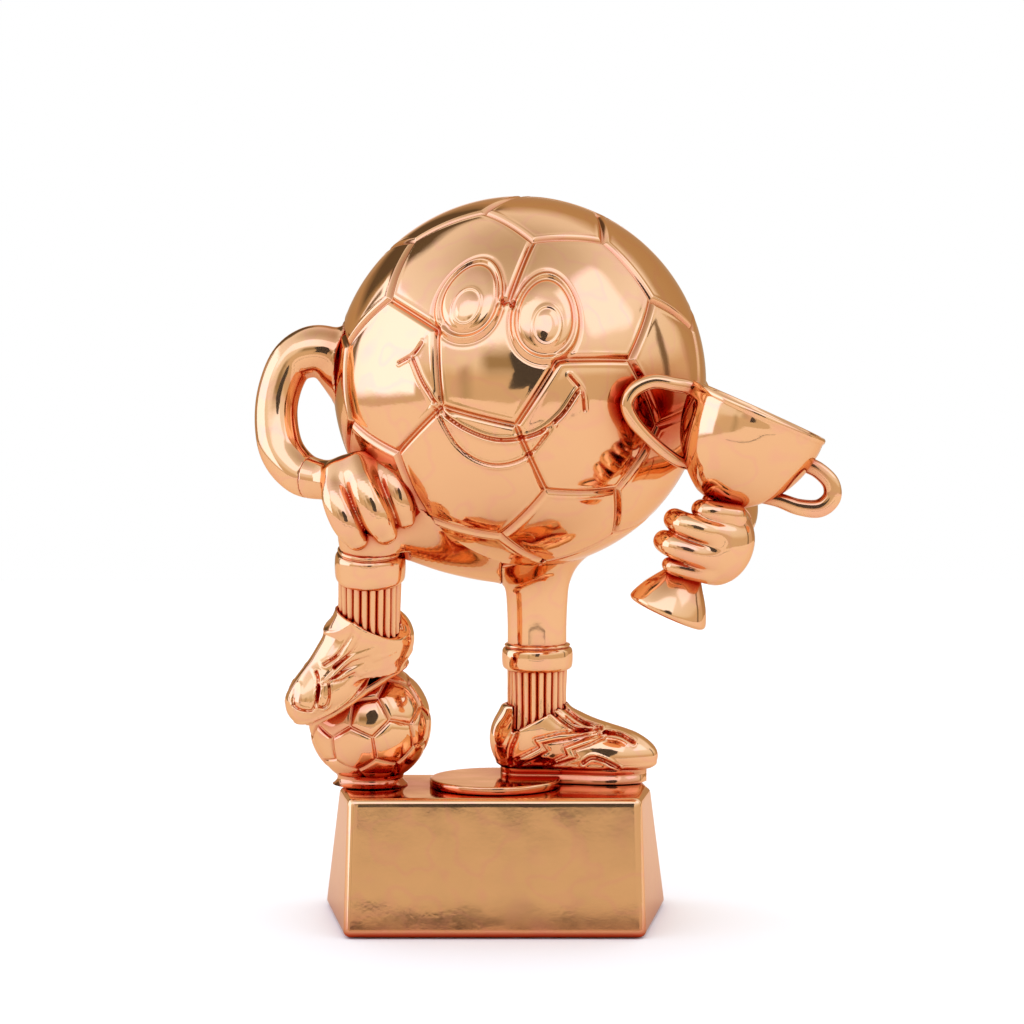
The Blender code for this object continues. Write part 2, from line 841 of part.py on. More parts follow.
def make_cup(copper):
    frame = cup_frame()
    bowl = [(0, BOWL_OUTSIDE[-1][1])] + BOWL_OUTSIDE[::-1] + BOWL_INSIDE[::-1]
    solid("cup_bowl", revolve(bowl + [(0, BOWL_INSIDE[0][1] - 0.4)], 32), copper, frame)
    stem = [(0, STEM[0][1])] + STEM + [(0, STEM[-1][1] - 0.8)]
    solid("cup_stem", revolve(stem, 28), copper, frame)

    left = [
        (-15.0, 0.0, -1.6, 1.5),
        (-20.2, -0.6, -0.8, 1.4),
        (-26.0, -1.6, -3.2, 1.4),
        (-28.2, -2.2, -7.4, 1.4),
        (-27.2, -2.0, -12.0, 1.4),
        (-22.4, -1.0, -16.6, 1.4),
        (-13.6, -0.4, -19.0, 1.3),
        (-9.8, 0.0, -17.0, 1.3),
    ]
    right = [
        (15.4, 0.0, -5.4, 1.5),
        (20.6, 0.0, -5.4, 1.5),
        (24.4, 0.0, -8.2, 1.6),
        (24.4, 0.0, -12.8, 1.6),
        (19.8, 0.0, -16.8, 1.6),
        (12.6, 0.0, -17.4, 1.5),
        (9.6, 0.0, -16.0, 1.4),
    ]
    for name, stations in (("cup_handle_left", left), ("cup_handle_right", right)):
        handle = solid(name, limb(stations, 8, 3, flat=1.35), copper, frame)
        cut(handle, bowl_cutter(frame), body_ball(GAP))


def main():
    for obj in list(bpy.data.objects):
        bpy.data.objects.remove(obj)

    copper = material("copper_plate", (0.86, 0.53, 0.36), 1.0, 0.14)
    steel = material("zinc_steel", (0.62, 0.63, 0.64), 1.0, 0.35)
    felt = material("black_felt", (0.03, 0.03, 0.03), 0.0, 0.95)

    make_base(copper, felt)
    make_fasteners(steel)
    make_standing_leg(copper)
    leg_dowel = make_raised_leg(copper, steel)
    left_pin, right_pin = make_body(copper, steel, leg_dowel)
    make_arms(copper, left_pin, right_pin)
    make_left_hand(copper)
    make_right_fist(copper)
    make_cup(copper)


main()
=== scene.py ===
"""Looks of the figure trophy: mirror-bright copper plate over sculpted pieces.

Every length below is in millimetres in the row frame, and to_mesh() turns it into metres.
"""

import json
import math
from dataclasses import dataclass

import bpy
import numpy as np
from mathutils import Matrix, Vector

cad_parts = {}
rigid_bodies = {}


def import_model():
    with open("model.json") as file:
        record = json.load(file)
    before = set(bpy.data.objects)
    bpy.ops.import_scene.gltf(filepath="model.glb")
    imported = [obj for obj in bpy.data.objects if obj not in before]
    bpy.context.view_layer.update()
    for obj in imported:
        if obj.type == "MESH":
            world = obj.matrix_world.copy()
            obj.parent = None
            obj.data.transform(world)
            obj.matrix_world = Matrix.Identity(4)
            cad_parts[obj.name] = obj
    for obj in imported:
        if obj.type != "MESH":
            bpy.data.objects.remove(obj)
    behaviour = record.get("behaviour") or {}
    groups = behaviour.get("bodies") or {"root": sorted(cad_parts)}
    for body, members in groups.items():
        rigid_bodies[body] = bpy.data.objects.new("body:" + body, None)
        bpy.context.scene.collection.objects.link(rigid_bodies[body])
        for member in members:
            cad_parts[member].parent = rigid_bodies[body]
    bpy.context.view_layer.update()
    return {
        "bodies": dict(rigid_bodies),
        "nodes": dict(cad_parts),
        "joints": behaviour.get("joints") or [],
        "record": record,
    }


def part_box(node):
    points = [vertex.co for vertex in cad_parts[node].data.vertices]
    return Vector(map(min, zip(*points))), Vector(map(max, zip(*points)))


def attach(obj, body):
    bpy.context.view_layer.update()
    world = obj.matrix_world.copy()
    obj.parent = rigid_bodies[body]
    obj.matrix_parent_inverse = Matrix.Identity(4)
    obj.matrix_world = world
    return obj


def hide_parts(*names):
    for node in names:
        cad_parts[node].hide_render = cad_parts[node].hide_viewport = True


MM = 0.001
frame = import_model()


# ------------------------------------------------------------ where the CAD pieces are


def box_mm(node):
    low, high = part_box(node)
    return np.array(low) / MM, np.array(high) / MM


def middle(node):
    low, high = box_mm(node)
    return (low + high) / 2


def radius_of(node):
    """Half of a round node's width."""
    low, high = box_mm(node)
    return (high[0] - low[0]) / 2


def unit(v):
    v = np.asarray(v, float)
    return v / np.linalg.norm(v)


front_low, front_high = box_mm("ball_front_shell")
rear_low, rear_high = box_mm("ball_rear_shell")
BODY_R = (rear_high[2] - rear_low[2]) / 2
PARTING_Y = (front_high[1] + rear_low[1]) / 2
BODY = np.array([(rear_low[0] + rear_high[0]) / 2, PARTING_Y, (rear_low[2] + rear_high[2]) / 2])

BASE_TOP = box_mm("base_block")[1][2]
BASE_BOTTOM = box_mm("base_block")[0][2]
LEG = middle("standing_leg_rod")
CUFF_LOW, CUFF_HIGH = (corner[2] for corner in box_mm("standing_sock_cuff"))
CUFF_R = radius_of("standing_sock_cuff")
SOCK_LOW = box_mm("standing_sock")[0][2]
BOOT_LOW = box_mm("standing_boot")[0][2]
BALL_R = radius_of("small_ball")
BALL = middle("small_ball").copy()
BALL[2] = box_mm("small_ball")[1][2] - BALL_R
DISC = middle("centre_disc")
DISC_R = radius_of("centre_disc")
DISC_TOP = box_mm("centre_disc")[1][2]

# The raised leg's axis runs between these two, as its sock and cuff do.
KNEE = np.array([-27.8, -15.5, 91.0])
ANKLE = np.array([-28.2, -10.5, 66.0])

CUP_RIM = np.array([57.6, -33.5, 118.5])
CUP_LEAN = math.radians(24.2)


# ------------------------------------------------------------ meshes


def to_mesh(name, points, faces, matrix=None):
    """A smooth-shaded object from points in mm."""
    points = np.asarray(points, float)
    if matrix is not None:
        m = np.array(matrix)
        points = points @ m[:3, :3].T + m[:3, 3]
    mesh = bpy.data.meshes.new(name)
    mesh.from_pydata((points * MM).tolist(), [], [list(map(int, face)) for face in faces])
    mesh.shade_smooth()
    mesh.set_sharp_from_angle(angle=math.radians(58))
    obj = bpy.data.objects.new(name, mesh)
    bpy.context.scene.collection.objects.link(obj)
    return obj


def merged(*parts):
    """Several (points, faces) as one."""
    points, faces, shift = [], [], 0
    for part_points, part_faces in parts:
        part_points = np.asarray(part_points, float)
        points.append(part_points)
        faces += [[i + shift for i in face] for face in part_faces]
        shift += len(part_points)
    return np.concatenate(points), faces


def placed(shape, matrix):
    m = np.array(matrix)
    return np.asarray(shape[0], float) @ m[:3, :3].T + m[:3, 3], shape[1]


def skinned(rings):
    """A skin over rings of points. A ring of one point is a tip, and a flat end gets a face."""
    points, rows, count = [], [], 0
    for ring in rings:
        rows.append(list(range(count, count + len(ring))))
        points += [tuple(point) for point in ring]
        count += len(ring)
    faces = []
    for low, high in zip(rows, rows[1:]):
        sides = max(len(low), len(high))
        for k in range(sides):
            n = (k + 1) % sides
            corners = [low[k % len(low)], low[n % len(low)], high[n % len(high)], high[k % len(high)]]
            face = list(dict.fromkeys(corners))
            if len(face) > 2:
                faces.append(face)
    if len(rows[0]) > 2:
        faces.append(rows[0][::-1])
    if len(rows[-1]) > 2:
        faces.append(rows[-1])
    return points, faces


def spline(stations, steps):
    """Catmull-Rom rows through the given rows."""
    rows = [np.asarray(row, float) for row in stations]
    rows = [2 * rows[0] - rows[1], *rows, 2 * rows[-1] - rows[-2]]
    out = []
    for a, b, c, d in zip(rows, rows[1:], rows[2:], rows[3:]):
        second = 2 * a - 5 * b + 4 * c - d
        third = 3 * b - a - 3 * c + d
        for t in np.arange(steps) / steps:
            out.append(0.5 * (2 * b + (c - a) * t + second * t**2 + third * t**3))
    out.append(rows[-2])
    return np.array(out)


def lathe(profile, sides=96, wave=None):
    """Turned about Z from (radius, z) pairs, bottom first. wave(angle, row) is added to the radius."""
    rings = []
    for row, (r, z) in enumerate(profile):
        if r <= 1e-6:
            rings.append([(0.0, 0.0, z)])
            continue
        ring = []
        for k in range(sides):
            angle = 2 * math.pi * k / sides
            rr = r + (wave(angle, row) if wave else 0.0)
            ring.append((rr * math.cos(angle), rr * math.sin(angle), z))
        rings.append(ring)
    return skinned(rings)


def along(origin, direction, right=(1, 0, 0)):
    """A frame at origin: +Z along direction, +X as near to right as it can be."""
    w = unit(direction)
    u = np.asarray(right, float)
    u = unit(u - u.dot(w) * w)
    v = np.cross(w, u)
    m = np.eye(4)
    m[:3, 0], m[:3, 1], m[:3, 2], m[:3, 3] = u, v, w, origin
    return m


def upright(place):
    """The frame of something turned about a vertical axis through place."""
    return along((place[0], place[1], 0), (0, 0, 1))


def ribbon(stations):
    """A strap through (x, y, z, half width, half thickness) rows, its width lying along Y."""
    sides, boxy = 20, 3.0
    rows = spline(stations, 8)
    centres = rows[:, :3]
    rings = []
    last = len(rows) - 1
    for k, row in enumerate(rows):
        w = unit(centres[min(k + 1, last)] - centres[max(k - 1, 0)])
        u = np.array([0.0, 1.0, 0.0])
        u = unit(u - u.dot(w) * w)
        v = np.cross(w, u)
        ring = []
        for j in range(sides):
            angle = 2 * math.pi * j / sides
            c, s = math.cos(angle), math.sin(angle)
            a = math.copysign(abs(c) ** (2 / boxy), c) * row[3]
            b = math.copysign(abs(s) ** (2 / boxy), s) * row[4]
            ring.append(row[:3] + a * u + b * v)
        rings.append(ring)
    return skinned(rings)


# ------------------------------------------------------------ sculpting with distance fields


def dist(v):
    return np.sqrt((v * v).sum(-1))


def smooth_min(a, b, k):
    """The union of two fields, blended over about k mm."""
    h = np.clip(0.5 + 0.5 * (b - a) / k, 0, 1)
    return b + (a - b) * h - k * h * (1 - h)


def smooth_max(a, b, k):
    return -smooth_min(-a, -b, k)


def blend_all(fields, k):
    out = fields[0]
    for field in fields[1:]:
        out = smooth_min(out, field, k)
    return out


def round_cone(p, a, b, ra, rb):
    a, b = np.asarray(a, float), np.asarray(b, float)
    ab = b - a
    h = np.clip(((p - a) @ ab) / max(ab @ ab, 1e-9), 0, 1)
    return dist(p - a - h[:, None] * ab) - (ra + (rb - ra) * h)


def tube(p, stations, steps=10):
    """A round tube through (x, y, z, radius) stations."""
    rows = spline(stations, steps)
    out = np.full(len(p), 1e9)
    for a, b in zip(rows, rows[1:]):
        out = np.minimum(out, round_cone(p, a[:3], b[:3], a[3], b[3]))
    return out


def ellipsoid(p, centre, radii):
    q = (p - np.asarray(centre, float)) / np.asarray(radii, float)
    k0 = dist(q)
    k1 = dist(q / np.asarray(radii, float))
    return k0 * (k0 - 1) / np.maximum(k1, 1e-6)


def to_local(p, matrix):
    """Points as a rigid frame sees them."""
    m = np.array(matrix)
    return (p - m[:3, 3]) @ m[:3, :3]


def line_distance(q, polyline):
    """Distance in a plane from each q to a polyline of (a, b) points."""
    out = np.full(len(q), 1e9)
    rows = np.asarray(polyline, float)
    for a, b in zip(rows, rows[1:]):
        ab = b - a
        h = np.clip(((q - a) @ ab) / max(ab @ ab, 1e-9), 0, 1)
        out = np.minimum(out, dist(q - a - h[:, None] * ab))
    return out


def bump(distance, width):
    """A soft ridge, 1 where distance is 0."""
    return np.exp(-((distance / width) ** 2))


BLOCK = 5  # cells along each side of a block
MOST_POINTS = 200000  # worked out at once


def sampled(field, low, high, step):
    """The field on a grid, worked out only in the blocks that its surface may pass through."""
    blocks = [max(1, math.ceil((b - a) / step / BLOCK)) for a, b in zip(low, high)]
    axes = [a + step * np.arange(BLOCK * n + 1) for a, n in zip(low, blocks)]
    shape = tuple(len(axis) for axis in axes)
    mids = [axis[:-1].reshape(-1, BLOCK).mean(1) + step / 2 for axis in axes]
    centres = np.stack(np.meshgrid(*mids, indexing="ij"), -1)
    rough = field(centres.reshape(-1, 3)).reshape(blocks)
    near = np.abs(rough) < BLOCK * step * 0.87 * 1.6
    values = rough
    for axis in range(3):
        near = near.repeat(BLOCK, axis)
        values = values.repeat(BLOCK, axis)
    values = np.pad(values, (0, 1), "edge")
    wanted = np.zeros(shape, bool)
    for corner in np.ndindex(2, 2, 2):
        wanted[tuple(slice(c, c + n) for c, n in zip(corner, near.shape))] |= near
    index = np.argwhere(wanted)
    places = index * step + np.array(low)
    batches = np.array_split(places, len(places) // MOST_POINTS + 1)
    values[wanted] = np.concatenate([field(batch) for batch in batches])
    return values, axes, shape


def skin_of(field, low, high, step):
    """(points, faces) of the surface where field(points) is zero, by surface nets."""
    values, axes, shape = sampled(field, low, high, step)
    cells = tuple(n - 1 for n in shape)
    total = np.zeros((*cells, 3))
    count = np.zeros(cells)
    edges = []
    for axis in range(3):
        head = [slice(None)] * 3
        tail = [slice(None)] * 3
        head[axis], tail[axis] = slice(0, -1), slice(1, None)
        v0, v1 = values[tuple(head)], values[tuple(tail)]
        cross = (v0 < 0) != (v1 < 0)
        where = np.stack(np.indices(v0.shape), -1).astype(float)
        where[..., axis] += np.where(cross, v0 / np.where(cross, v0 - v1, 1), 0)
        others = [i for i in range(3) if i != axis]
        for da in (0, 1):
            for db in (0, 1):
                part = [slice(None)] * 3
                part[others[0]] = slice(da, da + cells[others[0]])
                part[others[1]] = slice(db, db + cells[others[1]])
                part = tuple(part)
                total += where[part] * cross[part][..., None]
                count += cross[part]
        edges.append((axis, others, cross, v0 < 0))
    active = count > 0
    number = np.full(cells, -1)
    number[active] = np.arange(active.sum())
    points = total[active] / count[active][:, None] * step + np.array([axis[0] for axis in axes])
    faces = []
    for axis, others, cross, starts_in in edges:
        inner = [slice(None)] * 3
        for other in others:
            inner[other] = slice(1, shape[other] - 1)
        inner = tuple(inner)
        at = np.argwhere(cross[inner])
        for other in others:
            at[:, other] += 1
        corners = []
        for da, db in ((-1, -1), (0, -1), (0, 0), (-1, 0)):
            cell = at.copy()
            cell[:, others[0]] += da
            cell[:, others[1]] += db
            corners.append(number[tuple(cell.T)])
        quads = np.stack(corners, -1)
        flip = starts_in[tuple(at.T)] == (axis == 1)
        quads[flip] = quads[flip][:, ::-1]
        faces.append(quads)
    faces = np.concatenate(faces)
    pairs = np.concatenate([faces[:, [k, (k + 1) % 4]] for k in range(4)])
    neighbours = np.bincount(pairs[:, 0], minlength=len(points))[:, None]
    nudge = 0.01
    for _ in range(3):
        # Evening out the mesh keeps reflections smooth.
        reach = [np.bincount(pairs[:, 0], axis[pairs[:, 1]], len(points)) for axis in points.T]
        points = (points + np.stack(reach, -1) / neighbours) / 2
        value = field(points)
        slope = np.stack([(field(points + nudge * e) - value) / nudge for e in np.eye(3)], -1)
        size = np.maximum((slope * slope).sum(-1), 0.05)
        move = (value / size)[:, None] * slope
        far = np.maximum(dist(move)[:, None] / (0.6 * step), 1)
        points = points - move / far
    return points, faces


# ------------------------------------------------------------ football panels


def football_centres():
    """The 12 pentagon and 20 hexagon directions of a football, with each panel's depth."""
    g = (1 + math.sqrt(5)) / 2
    corners = []
    for a in (-1, 1):
        for b in (-g, g):
            corners += [(0, a, b), (a, b, 0), (b, 0, a)]
    corners = [unit(c) for c in corners]
    near = 1 / math.sqrt(5)
    hexagons = []
    for i in range(12):
        for j in range(i + 1, 12):
            for k in range(j + 1, 12):
                pairs = (corners[i] @ corners[j], corners[j] @ corners[k], corners[i] @ corners[k])
                if all(abs(pair - near) < 0.01 for pair in pairs):
                    hexagons.append(unit(corners[i] + corners[j] + corners[k]))
    edge = 1 / 2.47802  # of a truncated icosahedron, in radii
    deep5 = math.sqrt(1 - (0.85065 * edge) ** 2)
    deep6 = math.sqrt(1 - edge**2)
    centres = np.array(corners + hexagons)
    depths = np.array([deep5] * 12 + [deep6] * 20)
    return centres, depths


def football_turned(towards, corner_angle):
    """Panel directions turned so that a pentagon faces towards and has a corner at corner_angle.

    The angle is counter-clockwise from +X, seen from outside.
    """
    centres, depths = football_centres()
    c = centres[0]
    scores = centres @ c
    scores[0] = -2
    nearest = centres[np.argsort(-scores)[0]]
    to_neighbour = unit(nearest - (nearest @ c) * c)
    source = np.stack([to_neighbour, np.cross(c, to_neighbour), c])
    w = unit(towards)
    u = unit((1, 0, 0) - w[0] * w)
    v = np.cross(w, u)
    # A pentagon's corners lie half-way between its hexagons.
    start = corner_angle + math.pi / 5
    a = math.cos(start) * u + math.sin(start) * v
    target = np.stack([a, np.cross(w, a), w])
    return centres @ source.T @ target, depths


def seam_distance(n, centres, depths):
    """Angle in radians from each direction to the nearest seam."""
    scaled = centres / depths[:, None]
    score = n @ scaled.T
    best = score.argmax(1)
    span = np.sqrt(((scaled[:, None] - scaled[None]) ** 2).sum(-1))
    span[np.arange(32), np.arange(32)] = 1
    gap = (score[np.arange(len(n)), best][:, None] - score) / span[best]
    gap[np.arange(len(n)), best] = 9
    return gap.min(1)


def octahedron():
    points = np.array([(1, 0, 0), (-1, 0, 0), (0, 1, 0), (0, -1, 0), (0, 0, 1), (0, 0, -1)], float)
    faces = []
    for x in (0, 1):
        for y in (2, 3):
            for z in (4, 5):
                face = [x, y, z]
                if np.linalg.det(points[face]) < 0:
                    face = [x, z, y]
                faces.append(face)
    return points, np.array(faces)


# How a face abc is cut up when 0, 1, 2 or 3 of its edges are split, at p on ab, q on bc and r on ca.
SMALLER_FACES = (("abc",), ("apc", "pbc"), ("pbq", "apq", "aqc"), ("apr", "pbq", "rqc", "pqr"))


def refined(points, faces, target, finest, coarsest, passes):
    """Splits every edge that is longer than target(middle) says, on the unit sphere."""
    for _ in range(passes):
        ends = np.concatenate([faces[:, [0, 1]], faces[:, [1, 2]], faces[:, [2, 0]]])
        ends, index = np.unique(np.sort(ends, 1), axis=0, return_inverse=True)
        index = index.reshape(-1)
        middles = points[ends[:, 0]] + points[ends[:, 1]]
        middles /= dist(middles)[:, None]
        length = dist(points[ends[:, 0]] - points[ends[:, 1]])
        long = length > coarsest
        unsure = ~long & (length > finest)
        if unsure.any():
            long[unsure] = length[unsure] > target(middles[unsure])
        if not long.any():
            break
        new = np.full(len(ends), -1)
        new[long] = len(points) + np.arange(long.sum())
        points = np.concatenate([points, middles[long]])
        m = new[index].reshape(3, -1).T
        # Turn each face so that its split edges come first.
        for _ in range(3):
            split = m >= 0
            one = split.sum(1) == 1
            two = split.sum(1) == 2
            wrong = (one & ~split[:, 0]) | (two & split[:, 2])
            faces[wrong] = np.roll(faces[wrong], -1, 1)
            m[wrong] = np.roll(m[wrong], -1, 1)
        splits = (m >= 0).sum(1)
        corners = dict(zip("abcpqr", [*faces.T, *m.T]))
        out = []
        for count, smaller in enumerate(SMALLER_FACES):
            chosen = splits == count
            out += [np.stack([corners[letter][chosen] for letter in face], 1) for face in smaller]
        faces = np.concatenate(out)
    return points, faces


# ------------------------------------------------------------ body with its face

BODY_PANELS = football_turned((-0.152, -0.977, 0.150), math.radians(3))

# Eyes: middle on the front as (right, up), then half width, half height and lean in degrees.
EYES = ((-10.9, 20.4, 6.9, 9.6, -8.0), (5.6, 16.6, 6.9, 9.8, -8.0))
SMILE_TOP = (
    (-23.4, 7.0),
    (-20.6, 1.0),
    (-15.2, -6.0),
    (-6.0, -10.2),
    (2.6, -9.4),
    (8.6, -5.4),
    (12.6, 0.2),
)
SMILE_LOW = ((-18.6, -3.6), (-13.4, -12.2), (-6.2, -16.0), (1.4, -14.2), (7.0, -7.6))
TICKS = (((-26.4, 6.0), (-23.2, 8.0), (-21.4, 10.4)), ((10.8, 3.6), (13.4, 0.2), (14.0, -4.0)))


def on_front(flat):
    """Points on the front of the body from (right, up) rows."""
    flat = np.asarray(flat, float)
    depth = np.sqrt(BODY_R**2 - (flat**2).sum(-1))
    return np.stack([flat[..., 0], -depth, flat[..., 1]], -1)


def curve_distance(points, flat):
    """Distance in mm from points on the body to a line drawn on its front."""
    rows = on_front(spline(flat, 10))
    out = np.full(len(points), 1e9)
    for a, b in zip(rows, rows[1:]):
        out = np.minimum(out, round_cone(points, a, b, 0.0, 0.0))
    return out


def eye_terms(n, right, up, half_wide, half_high, lean):
    """How far out from the eye's middle each direction is, in half widths, and the same for its pupil."""
    out = unit(on_front((right, up)))
    lean = math.radians(lean)
    tall = np.array([math.sin(-lean), 0, math.cos(-lean)])
    tall = unit(tall - (tall @ out) * out)
    wide = np.cross(tall, out)
    u = BODY_R * (n @ wide)
    v = BODY_R * (n @ tall)
    facing = (n @ out) > 0.5
    taper = 1 - 0.16 * v / half_high
    rim = np.sqrt((u / (half_wide * taper)) ** 2 + (v / half_high) ** 2)
    pupil = np.sqrt(((u - 0.3) / (0.44 * half_wide)) ** 2 + ((v + 2.6) / (0.44 * half_high)) ** 2)
    return np.where(facing, rim, 9.0), np.where(facing, pupil, 9.0)


def body_features(n):
    """Named distances in mm from each direction to the lines on the body."""
    seams = BODY_R * seam_distance(n, *BODY_PANELS)
    parting = np.abs(BODY_R * n[:, 1])
    rims, pupils = [], []
    for eye in EYES:
        rim, pupil = eye_terms(n, *eye)
        rims.append((rim - 1) * eye[2])
        pupils.append((pupil - 1) * 0.44 * eye[2])
    on_ball = n * BODY_R
    front = n[:, 1] < -0.3
    smiles = np.full((len(n), 2), 99.0)
    ticks = np.full(len(n), 99.0)
    if front.any():
        smiles[front, 0] = curve_distance(on_ball[front], SMILE_TOP)
        smiles[front, 1] = curve_distance(on_ball[front], SMILE_LOW)
        ticks[front] = np.minimum(*(curve_distance(on_ball[front], tick) for tick in TICKS))
    return seams, parting, np.array(rims), np.array(pupils), smiles, ticks


def body_height(n):
    """How far the surface stands out of the plain ball in each direction, in mm."""
    seams, parting, rims, pupils, smiles, ticks = body_features(n)
    in_eye = 1 / (1 + np.exp(np.clip(rims.min(0) / 0.35, -30, 30)))
    seam = -0.62 * bump(seams, 0.50) - 0.30 * bump(seams, 1.5) + 0.16 * bump(seams - 1.25, 0.45)
    height = seam * (1 - in_eye) - 0.10 * bump(parting, 0.25)
    rim = np.abs(rims).min(0)
    height += 0.62 * bump(rim, 0.38) - 0.30 * bump(rim - 0.85, 0.40)
    inside = np.clip(-rims.min(0), 0, 3.2) / 3.2
    height += 0.75 * inside * (2 - inside) * in_eye
    pupil = pupils.min(0)
    height += 0.40 * bump(pupil, 0.30)
    dome = np.clip(-pupil, 0, 2.2) / 2.2
    height += 0.55 * dome * (2 - dome)
    for k, deep in ((0, 0.50), (1, 0.40)):
        height += -deep * bump(smiles[:, k], 0.34) + 0.5 * deep * bump(smiles[:, k] - 0.75, 0.34)
    height += -0.42 * bump(ticks, 0.30) + 0.16 * bump(ticks - 0.6, 0.3)
    return height


def body_grain(n):
    """The longest edge to leave at each direction, on the unit sphere."""
    seams, parting, rims, pupils, smiles, ticks = body_features(n)
    near = np.minimum.reduce([seams, np.abs(rims).min(0), np.abs(pupils).min(0), smiles.min(1), ticks])
    return (0.30 + 0.42 * np.clip(near - 1.4, 0, 3.2)) / BODY_R


def make_body():
    points, faces = refined(*octahedron(), body_grain, 0.30 / BODY_R, 1.65 / BODY_R, 12)
    height = body_height(points)
    outside = points * (BODY_R - 0.05 + height)[:, None]
    rear = points[faces].mean(1)[:, 1] > 0
    made = []
    for name, chosen in (("body_front", ~rear), ("body_rear", rear)):
        used, index = np.unique(faces[chosen], return_inverse=True)
        part = index.reshape(-1, 3)
        ends = np.concatenate([part[:, [0, 1]], part[:, [1, 2]], part[:, [2, 0]]])
        keys = {(int(a), int(b)) for a, b in ends}
        rim = [(a, b) for a, b in keys if (b, a) not in keys]
        hub = len(used)
        cap = [(b, a, hub) for a, b in rim]
        mesh_points = np.concatenate([outside[used], np.zeros((1, 3))]) + BODY
        made.append(to_mesh(name, mesh_points, part.tolist() + cap))
    return made


# ------------------------------------------------------------ limbs

# Rows of x, y, z and radius.
THIGH = [(*(KNEE + (0.4, 0.5, -0.6)), 7.2), (-20.5, -11.0, 91.2, 7.3), (-9.5, -4.5, 88.6, 8.2)]
HIP_SPLIT = 1.6  # the x where the raised leg's casting meets the standing leg's
GAP = 0.02  # between two castings
ARM_STEP = 0.42  # of the grid that a limb's skin is found on
HAND_STEP = 0.28


def body_field(p, extra=0.0):
    return dist(p - BODY) - BODY_R - extra


def legs_field(p):
    """Both thighs and the standing shin, flowing into the underside of the body."""
    column = dist(p[:, :2] - LEG[:2]) - 6.75 - 0.012 * np.clip(p[:, 2] - 66, 0, 30) ** 1.6
    thigh = tube(p, [*THIGH, (2.0, 2.0, 86.4, 8.8)])
    shin_axis = unit(KNEE - ANKLE)
    shin = np.maximum(dist(np.cross(p - ANKLE, shin_axis)) - 6.6, -((p - ANKLE) @ shin_axis - 14))
    shin = np.maximum(shin, (p - KNEE) @ shin_axis)
    legs = smooth_min(smooth_min(thigh, shin, 2.0), column, 3.0)
    return smooth_min(legs, body_field(p, -0.4), 8.0)


def leg_pieces():
    def standing(p):
        f = np.maximum(legs_field(p), -body_field(p, -0.6))
        f = np.maximum(f, (CUFF_HIGH - 0.4) - p[:, 2])
        f = np.maximum(f, HIP_SPLIT - p[:, 0])
        return np.maximum(f, dist(p[:, :2] - LEG[:2]) - 18.0)

    def raised(p):
        f = np.maximum(legs_field(p), -body_field(p, -0.6))
        f = np.maximum(f, p[:, 0] - (HIP_SPLIT - GAP))
        near = tube(p, [(*KNEE, 12.0), (-20.5, -11.0, 91.2, 12.5), (3.0, 2.0, 84.0, 17.0)], 2)
        shin_axis = unit(KNEE - ANKLE)
        below_cuff = (p - ANKLE) @ shin_axis - (np.linalg.norm(KNEE - ANKLE) - 4.9)
        f = np.maximum(f, -np.maximum(below_cuff, dist(np.cross(p - ANKLE, shin_axis)) - 9.0))
        return np.maximum(f, near)

    low, high = LEG + (-10, -19, 0), LEG + (19, 19, 0)
    low[2], high[2] = CUFF_HIGH - 2, 95
    standing_leg = skin_of(standing, low, high, ARM_STEP)
    raised_leg = skin_of(raised, (-38, -28, 72), (3, 20, 104), 0.4)
    return standing_leg, raised_leg


LEFT_ARM = [
    (-31.5, -0.6, 125.0, 7.8),
    (-36.4, -1.2, 128.8, 6.4),
    (-41.4, -1.8, 129.8, 5.8),
    (-46.4, -2.2, 126.6, 5.0),
    (-49.2, -3.6, 118.0, 4.8),
    (-48.2, -6.2, 108.6, 5.0),
    (-43.6, -9.8, 103.0, 4.9),
    (-37.4, -13.6, 101.6, 4.4),
    (-32.6, -16.4, 101.6, 4.6),
]
RIGHT_ARM = [
    (42.0, 7.0, 118.0, 7.6),
    (48.4, 7.0, 112.4, 5.3),
    (53.6, 2.0, 102.0, 4.8),
    (54.4, -7.0, 95.4, 4.8),
    (53.0, -16.0, 92.4, 4.8),
    (49.6, -24.0, 90.4, 5.2),
]


LEFT_FINGERS = (
    [
        (-35.0, -17.6, 103.0, 3.0),
        (-35.0, -21.8, 98.6, 3.2),
        (-32.8, -23.6, 93.2, 3.3),
        (-30.4, -22.8, 89.2, 2.5),
    ],
    [
        (-30.0, -18.6, 105.0, 3.4),
        (-28.6, -22.8, 100.6, 3.7),
        (-26.2, -24.2, 95.0, 3.8),
        (-24.2, -23.2, 90.8, 2.8),
    ],
    [
        (-24.6, -18.0, 105.4, 2.9),
        (-22.2, -21.6, 101.8, 3.2),
        (-20.6, -22.8, 97.4, 3.1),
        (-19.8, -22.2, 93.8, 2.3),
    ],
)
LEFT_THUMB = [(-23.6, -15.4, 102.4, 3.2), (-18.8, -13.6, 99.0, 3.0), (-16.6, -12.2, 94.4, 2.5)]
# Across the cup's stem: height in the cup's frame, reach, where the tip ends, thickness.
RIGHT_FINGERS = (
    (-24.6, 6.4, -2.6, 2.5),
    (-29.0, 7.6, -6.9, 2.7),
    (-34.2, 7.2, -7.0, 2.7),
    (-38.4, 5.2, -4.0, 1.9),
)


def arm_field(p, forearm, stations, past_wrist):
    """An arm that flows into the body and ends at the wrist."""
    f = smooth_min(forearm, body_field(p, -0.5), 2.6)
    f = np.maximum(f, -body_field(p, -0.6))
    f = np.maximum(f, past_wrist)
    return np.maximum(f, tube(p, [(x, y, z, r + 3.4) for x, y, z, r in stations], 2))


def left_forearm_field(p):
    palm = ellipsoid(p, (-28.4, -16.6, 101.6), (9.0, 7.0, 6.6))
    return smooth_min(tube(p, LEFT_ARM), palm, 3.6)


